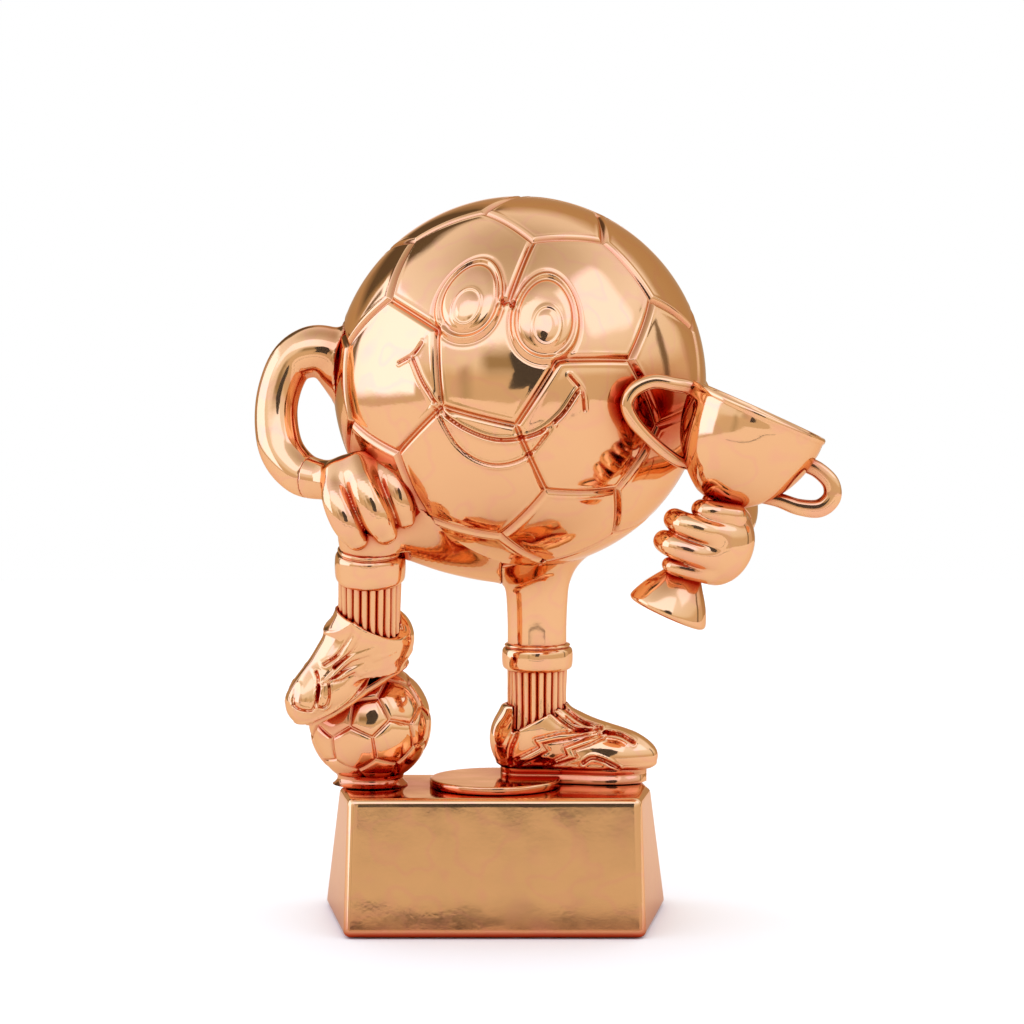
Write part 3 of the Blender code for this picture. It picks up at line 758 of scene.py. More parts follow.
def left_hand_field(p):
    """Forearm, hand and fingers as one flowing shape."""
    fingers = [tube(p, stations) for stations in LEFT_FINGERS]
    hand = smooth_min(left_forearm_field(p), tube(p, LEFT_THUMB), 2.0)
    knuckles = blend_all(fingers, 0.45)
    return smooth_min(hand, knuckles, 1.1)


def left_arm_pieces():
    wrist = np.array([-41.2, -11.2, 102.4])
    wrist_axis = unit((0.84, -0.54, -0.1))

    def arm(p):
        return arm_field(p, left_forearm_field(p), LEFT_ARM, (p - wrist) @ wrist_axis)

    def hand(p):
        f = np.maximum(left_hand_field(p), GAP - (p - wrist) @ wrist_axis)
        # The knee fills the hollow of the hand.
        f = np.maximum(f, -body_field(p, -0.3))
        return smooth_max(f, -(tube(p, THIGH) + 0.5), 0.2)

    arm_skin = skin_of(arm, (-56, -24, 92), (-24, 10, 138), ARM_STEP)
    return arm_skin, skin_of(hand, (-48, -31, 84), (-12, -3, 111), HAND_STEP)


# ------------------------------------------------------------ cup and fist

CUP = np.eye(4)
CUP[:3, :3] = np.array(Matrix.Rotation(CUP_LEAN, 3, "Y"))
CUP[:3, 3] = CUP_RIM


def right_forearm_field(p):
    palm = ellipsoid(to_local(p, CUP), (4.6, -1.4, -30.4), (7.0, 7.6, 8.9))
    return smooth_min(palm, tube(p, RIGHT_ARM), 3.0)


def right_fist_field(p):
    q = to_local(p, CUP)
    fingers = []
    for z, reach, tip, thick in RIGHT_FINGERS:
        finger = [
            (4.0, -5.0, z + 1.6, thick + 0.3),
            (0.4, -reach + 0.4, z + 0.6, thick + 0.2),
            (tip * 0.7, -reach + 0.6, z, thick),
            (tip, -2.6, z - 0.2, thick - 0.2),
            (tip + 0.3, 1.4, z - 0.3, thick - 0.5),
        ]
        fingers.append(tube(q, finger))
    return smooth_min(right_forearm_field(p), blend_all(fingers, 0.5), 1.5)


def right_arm_pieces():
    wrist = np.array([52.4, -17.6, 92.0])
    wrist_axis = unit((-0.25, -0.97, -0.1))

    def arm(p):
        return arm_field(p, right_forearm_field(p), RIGHT_ARM, (p - wrist) @ wrist_axis)

    def fist(p):
        return np.maximum(right_fist_field(p), GAP - (p - wrist) @ wrist_axis)

    arm_skin = skin_of(arm, (34, -22, 84), (63, 20, 130), ARM_STEP)
    return arm_skin, skin_of(fist, (28, -46, 76), (62, -14, 104), HAND_STEP)


def cup_pieces():
    """Bowl, stem and two handles in the cup's own frame, with its rim at z 0."""
    outside = [(3.7, -21.9), (5.8, -21.0), (9.4, -17.9), (12.6, -13.8), (14.7, -9.0)]
    outside += [(15.6, -4.2), (15.7, -1.4)]
    lip = [(15.85, -1.2), (15.95, -0.8), (15.9, -0.3), (15.6, 0.0)]
    lip += [(14.9, 0.0), (14.5, -0.25), (14.35, -0.8)]
    inside = [(14.2, -2.0), (13.6, -6.2), (12.0, -11.0), (9.0, -15.2), (4.6, -18.4), (0.0, -19.4)]
    bowl = lathe([(0.0, -21.9), *spline(outside, 8), *lip, *spline(inside, 8)], 128)
    stem_rows = [
        (3.3, -21.7),
        (3.4, -26.0),
        (3.5, -34.0),
        (3.8, -38.6),
        (4.7, -40.4),
        (6.1, -42.4),
        (7.4, -44.4),
        (8.4, -46.4),
        (8.9, -47.8),
        (8.8, -48.5),
        (8.1, -49.0),
        (6.4, -49.2),
    ]
    stem = lathe([(0.0, -21.0), *spline(stem_rows, 6), (0.0, -49.3)], 96)
    left = [
        (-13.4, -0.4, -3.4, 2.1, 1.5),
        (-15.6, -0.9, -1.9, 2.2, 1.6),
        (-19.4, -1.4, -2.6, 2.3, 1.6),
        (-23.6, -1.8, -3.8, 2.3, 1.6),
        (-26.6, -2.2, -6.9, 2.3, 1.6),
        (-27.0, -2.4, -10.4, 2.3, 1.5),
        (-24.6, -2.2, -13.0, 2.3, 1.5),
        (-20.6, -1.6, -15.0, 2.2, 1.4),
        (-15.8, -1.0, -16.6, 2.1, 1.4),
        (-11.4, -0.6, -17.4, 1.9, 1.3),
        (-8.4, -0.2, -17.0, 1.5, 1.2),
    ]
    right = [
        (14.0, 0.0, -6.6, 2.1, 1.8),
        (17.4, 0.0, -6.8, 2.1, 1.8),
        (20.8, 0.0, -8.2, 2.1, 1.9),
        (22.3, 0.0, -11.0, 2.1, 2.0),
        (20.8, 0.0, -14.2, 2.1, 2.0),
        (16.6, 0.0, -15.8, 2.1, 1.8),
        (12.0, 0.0, -16.2, 2.1, 1.6),
        (8.2, 0.0, -17.2, 1.8, 1.3),
    ]
    return bowl, stem, ribbon(left), ribbon(right)


# ------------------------------------------------------------ boots, socks and cuffs


def polygon_distance(q, corners):
    """Distance in a plane from each q to a polygon's edge, negative inside it."""
    rows = np.asarray([*corners, corners[0]], float)
    inside = np.zeros(len(q), bool)
    for (ax, ay), (bx, by) in zip(rows, rows[1:]):
        across = (ay > q[:, 1]) != (by > q[:, 1])
        reach = ax + (bx - ax) * (q[:, 1] - ay) / (by - ay if by != ay else 1.0)
        inside ^= across & (q[:, 0] < reach)
    return np.where(inside, -1, 1) * line_distance(q, rows)


@dataclass
class Boot:
    """A football boot in its own frame: +X to the toe, ankle over the origin, sole at z 0.

    Places on its side are (along, up). The foot and heel are each a place and three radii, and the
    instep is two balls (along, up, radius) joined. The mouth is a slope (height, rise), and behind
    the tab's place (along) the heel tab stands up to its own height.
    """

    size: float
    foot: tuple
    heel: tuple
    instep: tuple
    mouth: tuple
    tab: tuple
    grooves: tuple
    stripes: tuple

    def shell(self, q):
        foot = ellipsoid(q, (self.foot[0], 0, self.foot[1]), self.foot[2:])
        (x0, z0, r0), (x1, z1, r1) = self.instep
        instep = round_cone(q, (x0, 0, z0), (x1, 0, z1), r0, r1)
        heel = ellipsoid(q, (self.heel[0], 0, self.heel[1]), self.heel[2:])
        ankle = np.maximum(dist(q[:, :2] - (-0.6, 0)) - 7.3, np.abs(q[:, 2] - z0) - 6.2)
        f = blend_all([heel, foot, instep], 3.0)
        return smooth_min(f, ankle, 2.0)

    def trim(self, q):
        """Stripes stand out of the sides, seams are pressed in, and a welt runs round the bottom."""
        side = np.clip((np.abs(q[:, 1]) - 1.2) / 1.5, 0, 1)
        flat = q[:, [0, 2]]
        out = 0.25 * bump(q[:, 2] - 0.9, 0.5)
        for groove in self.grooves:
            away = line_distance(flat, spline(groove, 4))
            out = out - side * (0.55 * bump(away, 0.34) - 0.18 * bump(away - 0.75, 0.3))
        for stripe in self.stripes:
            edge = polygon_distance(flat, stripe)
            raised = 1 / (1 + np.exp(np.clip(edge / 0.12, -30, 30)))
            out = out + side * (0.55 * raised - 0.25 * bump(edge - 0.35, 0.3))
        return out

    def field(self, p, frame):
        q = to_local(p, frame) / self.size
        f = self.shell(q) - self.trim(q)
        slope = q[:, 2] - (self.mouth[0] + self.mouth[1] * q[:, 0])
        mouth = np.where(q[:, 0] < self.tab[0], q[:, 2] - self.tab[1], slope)
        f = smooth_max(f, mouth, 0.8)
        return smooth_max(f, -q[:, 2], 0.5) * self.size


STANDING_BOOT = Boot(
    size=1.0,
    foot=(13.4, 2.8, 14.4, 7.5, 6.6),
    heel=(-3.6, 6.6, 7.3, 6.4, 8.6),
    instep=((1.0, 9.4, 7.0), (19.0, 2.8, 5.1)),
    mouth=(11.5, 0.55),
    tab=(-5.2, 14.6),
    grooves=(
        ((-4.3, 14.0), (-4.1, 8.7), (-5.5, 4.8), (-5.7, 1.0)),
        ((5.0, 15.2), (9.1, 11.8), (11.8, 10.4), (14.8, 9.5)),
        ((4.0, 13.2), (6.9, 10.7), (9.6, 9.3), (13.8, 9.2)),
        ((15.7, 8.6), (19.3, 8.0), (22.3, 6.4)),
        ((11.0, 2.0), (13.0, 3.2), (15.7, 2.6), (19.0, 0.8)),
    ),
    stripes=(
        (
            (-4.6, 2.2),
            (1.2, 5.4),
            (0.0, 7.2),
            (6.0, 8.6),
            (13.5, 9.0),
            (9.1, 7.9),
            (1.6, 6.4),
            (2.8, 4.6),
            (-3.9, 1.0),
        ),
        ((2.3, 0.9), (7.4, 3.6), (6.7, 5.4), (11.8, 7.4), (16.2, 8.4), (12.2, 6.4), (8.4, 5.0), (9.2, 3.2)),
    ),
)
RAISED_BOOT = Boot(
    size=0.83,
    foot=(13.8, 3.6, 12.6, 8.2, 7.9),
    heel=(-6.4, 8.0, 8.6, 7.0, 9.0),
    instep=((0.8, 12.2, 7.7), (18.6, 3.8, 6.5)),
    mouth=(18.4, 0.98),
    tab=(-8.6, 15.2),
    grooves=(
        ((-0.6, 16.3), (2.1, 14.0), (5.2, 12.1), (10.7, 10.8)),
        ((0.6, 19.0), (2.6, 16.2), (7.6, 13.2), (12.2, 12.4)),
        ((15.0, 11.6), (16.0, 9.8), (20.1, 5.2), (22.0, 4.0), (24.6, 6.6), (21.0, 11.0)),
        ((16.9, 8.6), (19.7, 4.8), (18.3, 3.2), (16.3, 4.5), (14.2, 8.0)),
        ((22.0, 0.2), (15.0, 0.0), (7.5, 1.4), (0.3, 3.6)),
    ),
    stripes=(
        (
            (15.2, 9.0),
            (8.5, 11.0),
            (3.9, 11.6),
            (-1.7, 10.8),
            (0.0, 8.6),
            (-6.1, 5.8),
            (1.2, 7.2),
            (1.0, 9.4),
            (5.7, 10.1),
            (11.9, 9.0),
        ),
        ((13.2, 8.3), (8.2, 8.6), (2.9, 8.1), (4.6, 6.2), (0.1, 4.8), (6.2, 5.2), (6.5, 7.0), (10.8, 7.3)),
    ),
)


def boot_pieces():
    standing = along((LEG[0], LEG[1], BOOT_LOW), (0, 0, 1), (math.cos(0.07), -math.sin(0.07), 0))

    def standing_boot(p):
        well = np.maximum(dist(p[:, :2] - LEG[:2]) - 6.9, SOCK_LOW - p[:, 2])
        return smooth_max(STANDING_BOOT.field(p, standing), -well, 0.4)

    heel = np.array([-19.4, -5.4, 60.5])
    toe = np.array([-42.0, -13.0, 46.6])
    run = unit(toe - heel)
    up = unit(np.cross(run, np.cross((-0.30, -0.22, 0.93), run)))
    raised = np.eye(4)
    raised[:3, 0], raised[:3, 1], raised[:3, 2] = run, np.cross(up, run), up
    raised[:3, 3] = heel + 8.2 * run + 1.2 * up
    shin_axis = unit(KNEE - ANKLE)

    def raised_boot(p):
        height = (p - ANKLE) @ shin_axis
        around = dist(np.cross(p - ANKLE, shin_axis))
        collar_top = 6.4 - 0.43 * (p[:, 0] + 34.5)
        collar = np.maximum(np.maximum(around - 7.7, height - collar_top), -7.0 - height)
        f = smooth_min(RAISED_BOOT.field(p, raised), collar, 2.6)
        f = smooth_max(f, -np.maximum(around - 6.9, -height - 3.2), 0.4)
        return smooth_max(f, -(dist(p - BALL) - BALL_R - 0.1), 0.3)

    under_leg = LEG * (1, 1, 0)
    foot_low = under_leg + (-14, -10, BOOT_LOW - 1)
    foot_high = under_leg + (31, 10, BOOT_LOW + 20)
    first = skin_of(standing_boot, foot_low, foot_high, HAND_STEP)
    second = skin_of(raised_boot, (-50, -26, 42), (-12, 6, 76), HAND_STEP)
    return first, second, raised


# Along a sole from heel to toe, and its half width there, as parts of the whole.
SOLE_WIDTHS = (
    (0.0, 0.0),
    (0.02, 0.42),
    (0.10, 0.76),
    (0.30, 0.80),
    (0.48, 0.80),
    (0.66, 0.96),
    (0.82, 0.92),
    (0.95, 0.56),
    (1.0, 0.0),
)


def sole_outline(length, half, z, grow):
    side = spline([(t * length, w * half) for t, w in SOLE_WIDTHS], 10)
    left = [(x, -max(w, 0) - grow, z) for x, w in side]
    right = [(x, max(w, 0) + grow, z) for x, w in side[::-1]]
    return left + right[1:-1]


def sock(radius, low, high, bow):
    """Ribbed knit, a little slimmer in the middle."""
    ribs = 22
    rows = [(radius - bow * math.sin(math.pi * t), low + (high - low) * t) for t in np.linspace(0, 1, 14)]

    def wave(angle, row):
        ridge = abs(math.cos(ribs * angle / 2)) ** 0.7
        lean = 0.10 * math.sin(5 * angle + 0.6 * row)
        return 0.95 * ridge - 0.75 + 0.5 * lean

    return lathe([(0.0, low), *rows, (0.0, high)], ribs * 12, wave)


def cuff(radius, low, high):
    """A turned-down cuff: a soft roll with a fold near its top."""
    tall = high - low
    rows = spline(
        [
            (radius - 1.2, low),
            (radius - 0.6, low + 0.05 * tall),
            (radius - 0.15, low + 0.16 * tall),
            (radius, low + 0.45 * tall),
            (radius - 0.1, low + 0.72 * tall),
            (radius - 0.45, low + 0.82 * tall),
            (radius - 0.85, low + 0.86 * tall),
            (radius - 0.6, low + 0.91 * tall),
            (radius - 0.8, low + 0.97 * tall),
            (radius - 1.3, high),
        ],
        5,
    )

    def wave(angle, row):
        return 0.14 * math.sin(3 * angle + 0.7) + 0.07 * math.sin(7 * angle)

    return lathe([(0.0, low), *rows, (0.0, high)], 96, wave)


# ------------------------------------------------------------ small football


def make_small_ball():
    centres, depths = football_turned((0.016, -0.971, 0.236), math.radians(-8))

    def grain(n):
        near = BALL_R * seam_distance(n, centres, depths)
        return (0.24 + 0.35 * np.clip(near - 0.7, 0, 2.0)) / BALL_R

    points, faces = refined(*octahedron(), grain, 0.24 / BALL_R, 0.95 / BALL_R, 10)
    seams = BALL_R * seam_distance(points, centres, depths)
    height = -0.42 * bump(seams, 0.34) - 0.24 * bump(seams, 0.95)
    ball = (points * (BALL_R - 0.03 + height)[:, None] + BALL, faces.tolist())
    low = BASE_TOP + 0.3
    skirt = [(8.6, low), (8.2, low + 0.3), (7.7, low + 0.9), (7.5, low + 1.6), (7.8, low + 2.4)]
    foot = lathe([(0.0, low), *spline(skirt, 5), (0.0, low + 2.4)], 72)
    return merged(ball, placed(foot, upright(BALL)))


# ------------------------------------------------------------ base


def polygon_inset(corners, depth):
    """The polygon with every side moved inwards by depth."""
    lines = []
    for (ax, ay), (bx, by) in zip(corners, corners[1:] + corners[:1]):
        length = math.hypot(bx - ax, by - ay)
        nx, ny = -(by - ay) / length, (bx - ax) / length
        lines.append((nx, ny, nx * ax + ny * ay + depth))
    out = []
    for (a, b, c), (d, e, f) in zip(lines[-1:] + lines[:-1], lines):
        det = a * e - b * d
        out.append(((c * e - b * f) / det, (a * f - c * d) / det))
    return out


# Corners (x, y) at the bottom and the top: a flat front and back, and two faces on each side.
BASE_LOW_CORNERS = [(-33.5, -25), (33.5, -25), (39.5, 16), (38.4, 25), (-38.4, 25), (-39.5, 16)]
BASE_HIGH_CORNERS = [(-32.6, -21), (32.6, -21), (35.2, -4), (32.8, 15), (-32.8, 15), (-35.2, -4)]
CORNER_R = (2.0, 2.0, 3.0, 2.4, 2.4, 3.0)


def base_ring(z, inset):
    """The base's outline at height z, with its corners rounded."""
    part = z / BASE_TOP
    corners = [
        (bx + (tx - bx) * part, by + (ty - by) * part)
        for (bx, by), (tx, ty) in zip(BASE_LOW_CORNERS, BASE_HIGH_CORNERS)
    ]
    corners = [np.array(c) for c in polygon_inset(corners, inset)]
    ring = []
    for k, corner in enumerate(corners):
        before = unit(corners[k - 1] - corner)
        after = unit(corners[(k + 1) % 6] - corner)
        half = math.acos(np.clip(before @ after, -1, 1)) / 2
        radius = max(CORNER_R[k] - inset, 0.15)
        reach = radius / math.tan(half)
        centre = corner + unit(before + after) * radius / math.sin(half)
        start, end = corner + before * reach, corner + after * reach
        ring.append((*(start + before * 0.6), z))
        for t in np.linspace(0, 1, 7):
            spoke = unit((start - centre) * (1 - t) + (end - centre) * t)
            ring.append((*(centre + spoke * radius), z))
        ring.append((*(end + after * 0.6), z))
    return ring


def base_shape():
    """The block, with its bottom and top edges rounded."""
    low_edge, high_edge = 1.4, 1.3
    turns = [math.radians(a) for a in np.linspace(0, 90, 9)]
    rings = [base_ring(BASE_BOTTOM, low_edge + 0.5)]
    for a in turns:
        rings.append(base_ring(BASE_BOTTOM + low_edge * (1 - math.cos(a)), low_edge * (1 - math.sin(a))))
    rings.append(base_ring(BASE_BOTTOM + low_edge + 0.6, 0.0))
    rings.append(base_ring(BASE_TOP - high_edge - 0.6, 0.0))
    for a in turns:
        rings.append(base_ring(BASE_TOP - high_edge * (1 - math.sin(a)), high_edge * (1 - math.cos(a))))
    rings.append(base_ring(BASE_TOP, high_edge + 0.5))
    return skinned(rings)


def disc_shape():
    low, high = BASE_TOP + 0.1, DISC_TOP
    rows = [
        (DISC_R - 0.2, low),
        (DISC_R, low + 0.2),
        (DISC_R, high - 0.35),
        (DISC_R - 0.1, high - 0.12),
        (DISC_R - 0.35, high),
        (DISC_R - 0.8, high),
    ]
    return placed(lathe([(0.0, low), *rows, (0.0, high)], 128), upright(DISC))


# ------------------------------------------------------------ materials


class Nodes:
    """Short ways to add shader nodes."""

    def __init__(self, tree):
        self.tree = tree

    def put(self, socket, value):
        """Links a socket, or gives it a value."""
        if isinstance(value, bpy.types.NodeSocket):
            self.tree.links.new(value, socket)
        elif socket.type == "RGBA":
            socket.default_value = (*value, 1)
        else:
            socket.default_value = value

    def add(self, kind, **inputs):
        node = self.tree.nodes.new(kind)
        for key, value in inputs.items():
            self.put(node.inputs[key], value)
        return node

    def noise(self, where, scale, detail=2.0, rough=0.5):
        node = self.add("ShaderNodeTexNoise", Vector=where, Scale=scale, Detail=detail, Roughness=rough)
        return node.outputs["Fac"]

    def maths(self, operation, *values):
        node = self.tree.nodes.new("ShaderNodeMath")
        node.operation = operation
        for socket, value in zip(node.inputs, values):
            self.put(socket, value)
        return node.outputs[0]

    def dot(self, where, direction):
        node = self.tree.nodes.new("ShaderNodeVectorMath")
        node.operation = "DOT_PRODUCT"
        self.put(node.inputs[0], where)
        self.put(node.inputs[1], tuple(direction))
        return node.outputs["Value"]

    def panel(self, where, direction, half, soft):
        """1 inside a rectangle seen in this direction and 0 outside it, with a soft edge."""
        m = along((0, 0, 0), direction, (direction[1], -direction[0], 0))
        ahead = self.maths("MAXIMUM", self.dot(where, m[:3, 2]), 0.001)
        inside = []
        for axis, size in zip((m[:3, 0], m[:3, 1]), half):
            reach = self.maths("ABSOLUTE", self.maths("DIVIDE", self.dot(where, axis), ahead))
            edge = self.maths("DIVIDE", self.maths("SUBTRACT", size, reach), soft)
            inside.append(self.maths("MINIMUM", self.maths("MAXIMUM", edge, 0.0), 1.0))
        return self.maths("MULTIPLY", *inside)

    def ramp(self, value, *stops):
        """A colour from (place, colour) stops. A single number is a grey."""
        node = self.add("ShaderNodeValToRGB", Fac=value)
        ramp = node.color_ramp
        while len(ramp.elements) < len(stops):
            ramp.elements.new(0.5)
        for element, (place, colour) in zip(ramp.elements, stops):
            element.position = place
            element.color = (*(colour if isinstance(colour, tuple) else (colour,) * 3), 1)
        return node.outputs["Color"]

    def mix(self, factor, a, b):
        node = self.tree.nodes.new("ShaderNodeMix")
        node.data_type = "RGBA"
        for number, value in ((0, factor), (6, a), (7, b)):
            self.put(node.inputs[number], value)
        return node.outputs[2]


def started(name):
    """A new material: itself, its nodes and its shader's sockets."""
    made = bpy.data.materials.new(name)
    made.use_nodes = True
    return made, Nodes(made.node_tree), made.node_tree.nodes["Principled BSDF"].inputs


COPPER = (0.955, 0.565, 0.300)
COPPER_PINK = (0.960, 0.490, 0.330)
# Deep red of the painted shade in the creases.
COPPER_CREASE_SHADE = (0.52, 0.045, 0.012)
COPPER_RIM = (0.90, 0.70, 0.54)


def copper_plate(name="copper_plate", wobble=1.0):
    """Lacquered copper plate: faint pink clouds and fine orange peel, with painted shade: the creases that
    ambient occlusion finds are tinted deep red.
    """
    made, n, shader = started(name)
    where = n.add("ShaderNodeTexCoord").outputs["Object"]
    smears = n.noise(where, 105.0, 1.5)
    clouds = n.ramp(smears, (0.40, 0.0), (0.455, 0.5), (0.50, 0.0), (0.62, 0.0), (0.75, 0.6))
    tint = n.mix(clouds, COPPER, COPPER_PINK)
    # Painted shade: ambient occlusion darkens the creases to deep red in the base colour.
    creases = n.add("ShaderNodeAmbientOcclusion", Distance=0.011)
    creases.samples = 8
    depth = n.ramp(creases.outputs["AO"], (0.34, 1.0), (0.62, 0.52), (0.93, 0.0))
    n.put(shader["Base Color"], n.mix(depth, tint, COPPER_CREASE_SHADE))
    n.put(shader["Metallic"], 1.0)
    n.put(shader["Specular Tint"], COPPER_RIM)
    n.put(shader["Roughness"], n.ramp(n.noise(where, 110.0, 4.0), (0.35, 0.05), (0.75, 0.11)))
    slow = n.noise(where, 95.0, 1.0)
    fine = n.noise(where, 900.0, 2.0)
    waves = n.add("ShaderNodeBump", Strength=0.30 * wobble, Distance=0.0006, Height=slow)
    peel = n.add("ShaderNodeBump", Strength=0.10, Distance=0.00004, Height=fine)
    n.put(peel.inputs["Normal"], waves.outputs["Normal"])
    n.put(shader["Normal"], peel.outputs["Normal"])
    return made


def zinc_steel():
    made, n, shader = started("zinc_steel")
    where = n.add("ShaderNodeTexCoord").outputs["Object"]
    shade = n.ramp(n.noise(where, 700.0, 4.0), (0.3, (0.50, 0.51, 0.53)), (0.7, (0.68, 0.68, 0.66)))
    n.put(shader["Base Color"], shade)
    n.put(shader["Metallic"], 1.0)
    n.put(shader["Roughness"], n.ramp(n.noise(where, 400.0), (0.3, 0.26), (0.7, 0.42)))
    return made


def black_felt():
    made, n, shader = started("black_felt")
    where = n.add("ShaderNodeTexCoord").outputs["Object"]
    fibres = n.noise(where, 2600.0, 5.0, 0.7)
    n.put(shader["Base Color"], n.ramp(fibres, (0.3, 0.012), (0.7, 0.05)))
    n.put(shader["Roughness"], 0.95)
    lumps = n.add("ShaderNodeBump", Strength=0.6, Distance=0.0002, Height=fibres)
    n.put(shader["Normal"], lumps.outputs["Normal"])
    return made


# ------------------------------------------------------------ the pieces


def finish_piece(obj, material, node):
    obj.data.materials.append(material)
    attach(obj, "root")
    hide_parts(node)


def build():
    copper = copper_plate()
    copper_flat = copper_plate("copper_plate_block", 0.35)
    steel, felt = zinc_steel(), black_felt()

    def add(name, shape, node, material=copper, matrix=None):
        finish_piece(to_mesh(name, *shape, matrix), material, node)

    body_front, body_rear = make_body()
    finish_piece(body_front, copper, "ball_front_shell")
    finish_piece(body_rear, copper, "ball_rear_shell")

    standing_leg, raised_leg = leg_pieces()
    add("leg_standing", standing_leg, "standing_leg")
    add("leg_raised", raised_leg, "raised_leg")
    left_arm, left_hand = left_arm_pieces()
    add("arm_left", left_arm, "left_arm")
    add("hand_left", left_hand, "left_hand")
    right_arm, right_fist = right_arm_pieces()
    add("arm_right", right_arm, "right_arm")
    add("fist_right", right_fist, "right_fist")

    bowl, stem, handle_left, handle_right = cup_pieces()
    add("cup_bowl_skin", bowl, "cup_bowl", matrix=CUP)
    add("cup_stem_skin", stem, "cup_stem", matrix=CUP)
    add("cup_handle_near", handle_left, "cup_handle_left", matrix=CUP)
    add("cup_handle_far", handle_right, "cup_handle_right", matrix=CUP)

    standing_boot, raised_boot, raised_frame = boot_pieces()
    add("boot_standing", standing_boot, "standing_boot")
    add("boot_raised", raised_boot, "raised_boot")

    leg_frame = upright(LEG)
    add("sock_standing", sock(6.7, SOCK_LOW, CUFF_LOW + 0.6, 0.15), "standing_sock", matrix=leg_frame)
    add("cuff_standing", cuff(CUFF_R, CUFF_LOW, CUFF_HIGH), "standing_sock_cuff", matrix=leg_frame)
    shin = along(ANKLE, KNEE - ANKLE)
    length = float(np.linalg.norm(KNEE - ANKLE))
    add("sock_raised", sock(6.9, -3.0, length - 12.0, 0.1), "raised_sock", matrix=shin)
    add("cuff_raised", cuff(7.9, length - 12.6, length - 4.5), "raised_sock_cuff", matrix=shin)

    turn = Matrix.Rotation(math.radians(-4.0), 4, "Z")
    sole_frame = Matrix.Translation((LEG[0] - 8.4, LEG[1], 0)) @ turn
    low = BASE_TOP + 0.2
    rows = ((0.0, 0), (1.4, 0), (1.7, -0.4), (2.2, -0.4), (2.5, 0), (BOOT_LOW + 0.2 - low, 0))
    sole = skinned([sole_outline(33.6, 6.4, low + up, grow) for up, grow in rows])
    add("sole_standing", sole, "standing_boot_sole", matrix=sole_frame)
    rows = ((-1.2, 0.0), (-0.7, 0.3), (-0.2, 0.3), (0.3, 0.0))
    raised_sole = skinned([sole_outline(27.6, 5.2, z, grow) for z, grow in rows])
    raised_sole = placed(raised_sole, Matrix.Translation((-7.8, 0, 0)))
    add("sole_raised", raised_sole, "raised_boot_sole", matrix=raised_frame)

    add("small_football", make_small_ball(), "small_ball")
    add("base", base_shape(), "base_block", copper_flat)
    add("disc", disc_shape(), "centre_disc", copper_flat)

    slots = {entry["node"]: entry["material_slot"] for entry in frame["record"]["subparts"]}
    for name, node in frame["nodes"].items():
        node.data.materials.clear()
        node.data.materials.append({"zinc_steel": steel, "felt": felt}.get(slots.get(name), copper))


# ------------------------------------------------------------ stage, light and camera


def make_floor():
    half = 0.75
    corners = [(-half, -half, 0), (half, -half, 0), (half, half, 0), (-half, half, 0)]
    mesh = bpy.data.meshes.new("floor")
    mesh.from_pydata(corners, [], [(0, 1, 2, 3)])
    floor = bpy.data.objects.new("floor", mesh)
    bpy.context.scene.collection.objects.link(floor)
    paint, n, shader = started("floor_paper")
    n.put(shader["Roughness"], 0.9)
    n.put(shader["Specular IOR Level"], 0.1)
    # Painted reflection: the floor takes a darker tan colour only in glossy rays, so the plating mirrors
    # the table a little darker than it looks straight on.
    mirrored = n.add("ShaderNodeLightPath").outputs["Is Glossy Ray"]
    n.put(shader["Base Color"], n.mix(mirrored, (0.97, 0.97, 0.97), (0.77, 0.69, 0.62)))
    mesh.materials.append(paint)


def make_world():
    """An even white light for the stage, and a room with panels for the plating to mirror."""
    world = bpy.data.worlds.new("studio")
    bpy.context.scene.world = world
    world.use_nodes = True
    n = Nodes(world.node_tree)
    back = world.node_tree.nodes["Background"]
    where = n.add("ShaderNodeTexCoord").outputs["Generated"]
    split = n.add("ShaderNodeSeparateXYZ", Vector=where)
    # Z runs from -1 below to 1 overhead, and is moved to 0..1 for the ramp.
    height = n.maths("MULTIPLY_ADD", split.outputs["Z"], 0.5, 0.5)
    room = n.ramp(
        height,
        (0.00, (0.60, 0.52, 0.42)),
        (0.50, (0.68, 0.59, 0.46)),
        (0.545, (0.70, 0.60, 0.46)),
        (0.60, (0.86, 0.85, 0.80)),
        (0.80, (0.98, 1.04, 1.18)),
        (0.90, (0.86, 0.88, 0.94)),
        (1.00, (0.56, 0.52, 0.46)),
    )
    for direction, half, soft, colour in ROOM_PANELS:
        room = n.mix(n.panel(where, direction, half, soft), room, colour)
    path = n.add("ShaderNodeLightPath")
    lit = n.mix(path.outputs["Is Diffuse Ray"], room, (1.30, 1.29, 1.29))
    n.put(back.inputs["Color"], n.mix(path.outputs["Is Camera Ray"], lit, (1.0, 1.0, 1.0)))


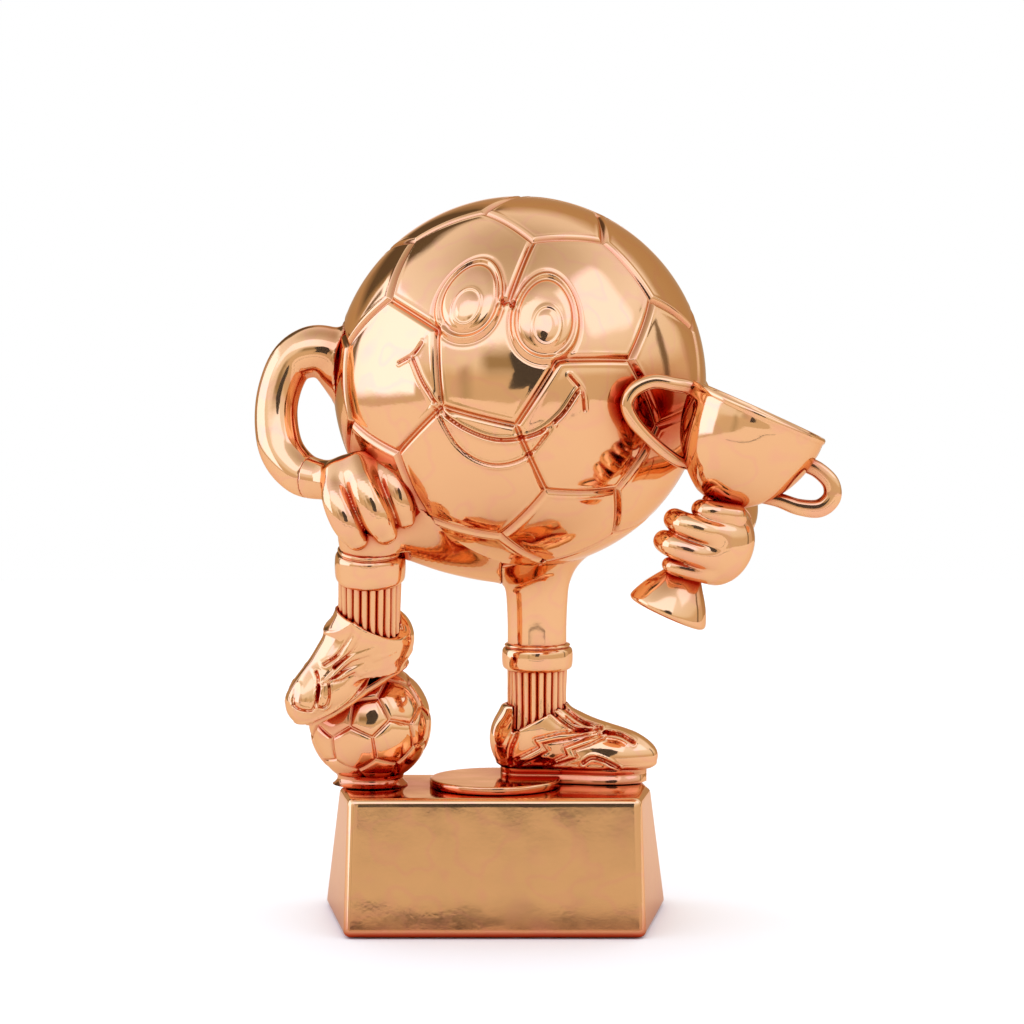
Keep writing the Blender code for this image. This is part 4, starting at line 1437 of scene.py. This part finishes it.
# Light and dark panels round the room: direction, half width and half height as tangents, how
# soft the edge is, colour.
ROOM_PANELS = (
    ((0.0, 1.0, 0.30), (1.5, 0.70), 0.30, (0.52, 0.42, 0.28)),
    ((0.0, 1.0, 0.08), (0.16, 0.12), 0.06, (0.98, 0.82, 0.74)),
    ((-0.38, 0.78, 0.50), (0.34, 0.34), 0.12, (0.13, 0.11, 0.08)),
    ((-0.95, 0.14, 0.26), (0.66, 0.40), 0.06, (1.40, 1.62, 2.25)),
    ((0.66, -0.26, 0.70), (0.36, 0.34), 0.10, (1.24, 1.36, 1.80)),
    ((-0.10, -0.74, 0.66), (0.60, 0.30), 0.08, (1.26, 1.40, 1.86)),
    ((-0.62, -0.52, 0.56), (0.20, 0.24), 0.08, (1.26, 1.40, 1.86)),
    ((-0.10, -1.0, 0.27), (0.38, 0.20), 0.16, (0.36, 0.30, 0.19)),
    ((-0.56, -0.82, 0.02), (0.12, 0.24), 0.12, (0.50, 0.44, 0.32)),
    ((0.97, 0.22, -0.02), (0.08, 0.60), 0.05, (0.22, 0.18, 0.13)),
    ((-0.80, 0.60, 0.02), (0.08, 0.50), 0.05, (0.22, 0.18, 0.13)),
)


# Outlines (x, z) of the dark shapes in front of the trophy.
PHOTOGRAPHER = (
    (-0.10, 0.120),
    (0.20, 0.120),
    (0.30, 0.28),
    (0.36, 0.48),
    (0.24, 0.62),
    (0.06, 0.60),
    (-0.10, 0.46),
    (-0.05, 0.28),
)
TABLE_EDGE = ((-0.20, 0.0186), (0.20, 0.0188), (0.20, 0.0228), (0.05, 0.0220), (-0.20, 0.0226))


def dark_card(name, outline, y, shade):
    """An upright dark panel that only reflections see: the camera and who stands behind it."""
    mesh = bpy.data.meshes.new(name)
    mesh.from_pydata([(x, y, z) for x, z in outline], [], [tuple(range(len(outline)))])
    obj = bpy.data.objects.new(name, mesh)
    bpy.context.scene.collection.objects.link(obj)
    paint, n, shader = started(name)
    n.put(shader["Base Color"], (shade, shade, shade))
    n.put(shader["Roughness"], 0.8)
    mesh.materials.append(paint)
    obj.visible_camera = False
    obj.visible_shadow = False
    obj.visible_diffuse = False


def make_camera():
    data = bpy.data.cameras.new("camera")
    data.lens = 127.77
    data.sensor_width = 36.0
    data.clip_start = 0.01
    camera = bpy.data.objects.new("camera", data)
    bpy.context.scene.collection.objects.link(camera)
    camera.location = (0.003859, -0.822107, 0.162412)
    camera.rotation_euler = (math.radians(90 - 4.8), 0, 0)
    bpy.context.scene.camera = camera


build()
make_floor()
make_world()
dark_card("behind_camera", PHOTOGRAPHER, -0.95, 0.05)
dark_card("table_edge", TABLE_EDGE, -0.30, 0.02)
make_camera()

scene = bpy.context.scene
scene.view_settings.view_transform = "Standard"
scene.view_settings.look = "None"
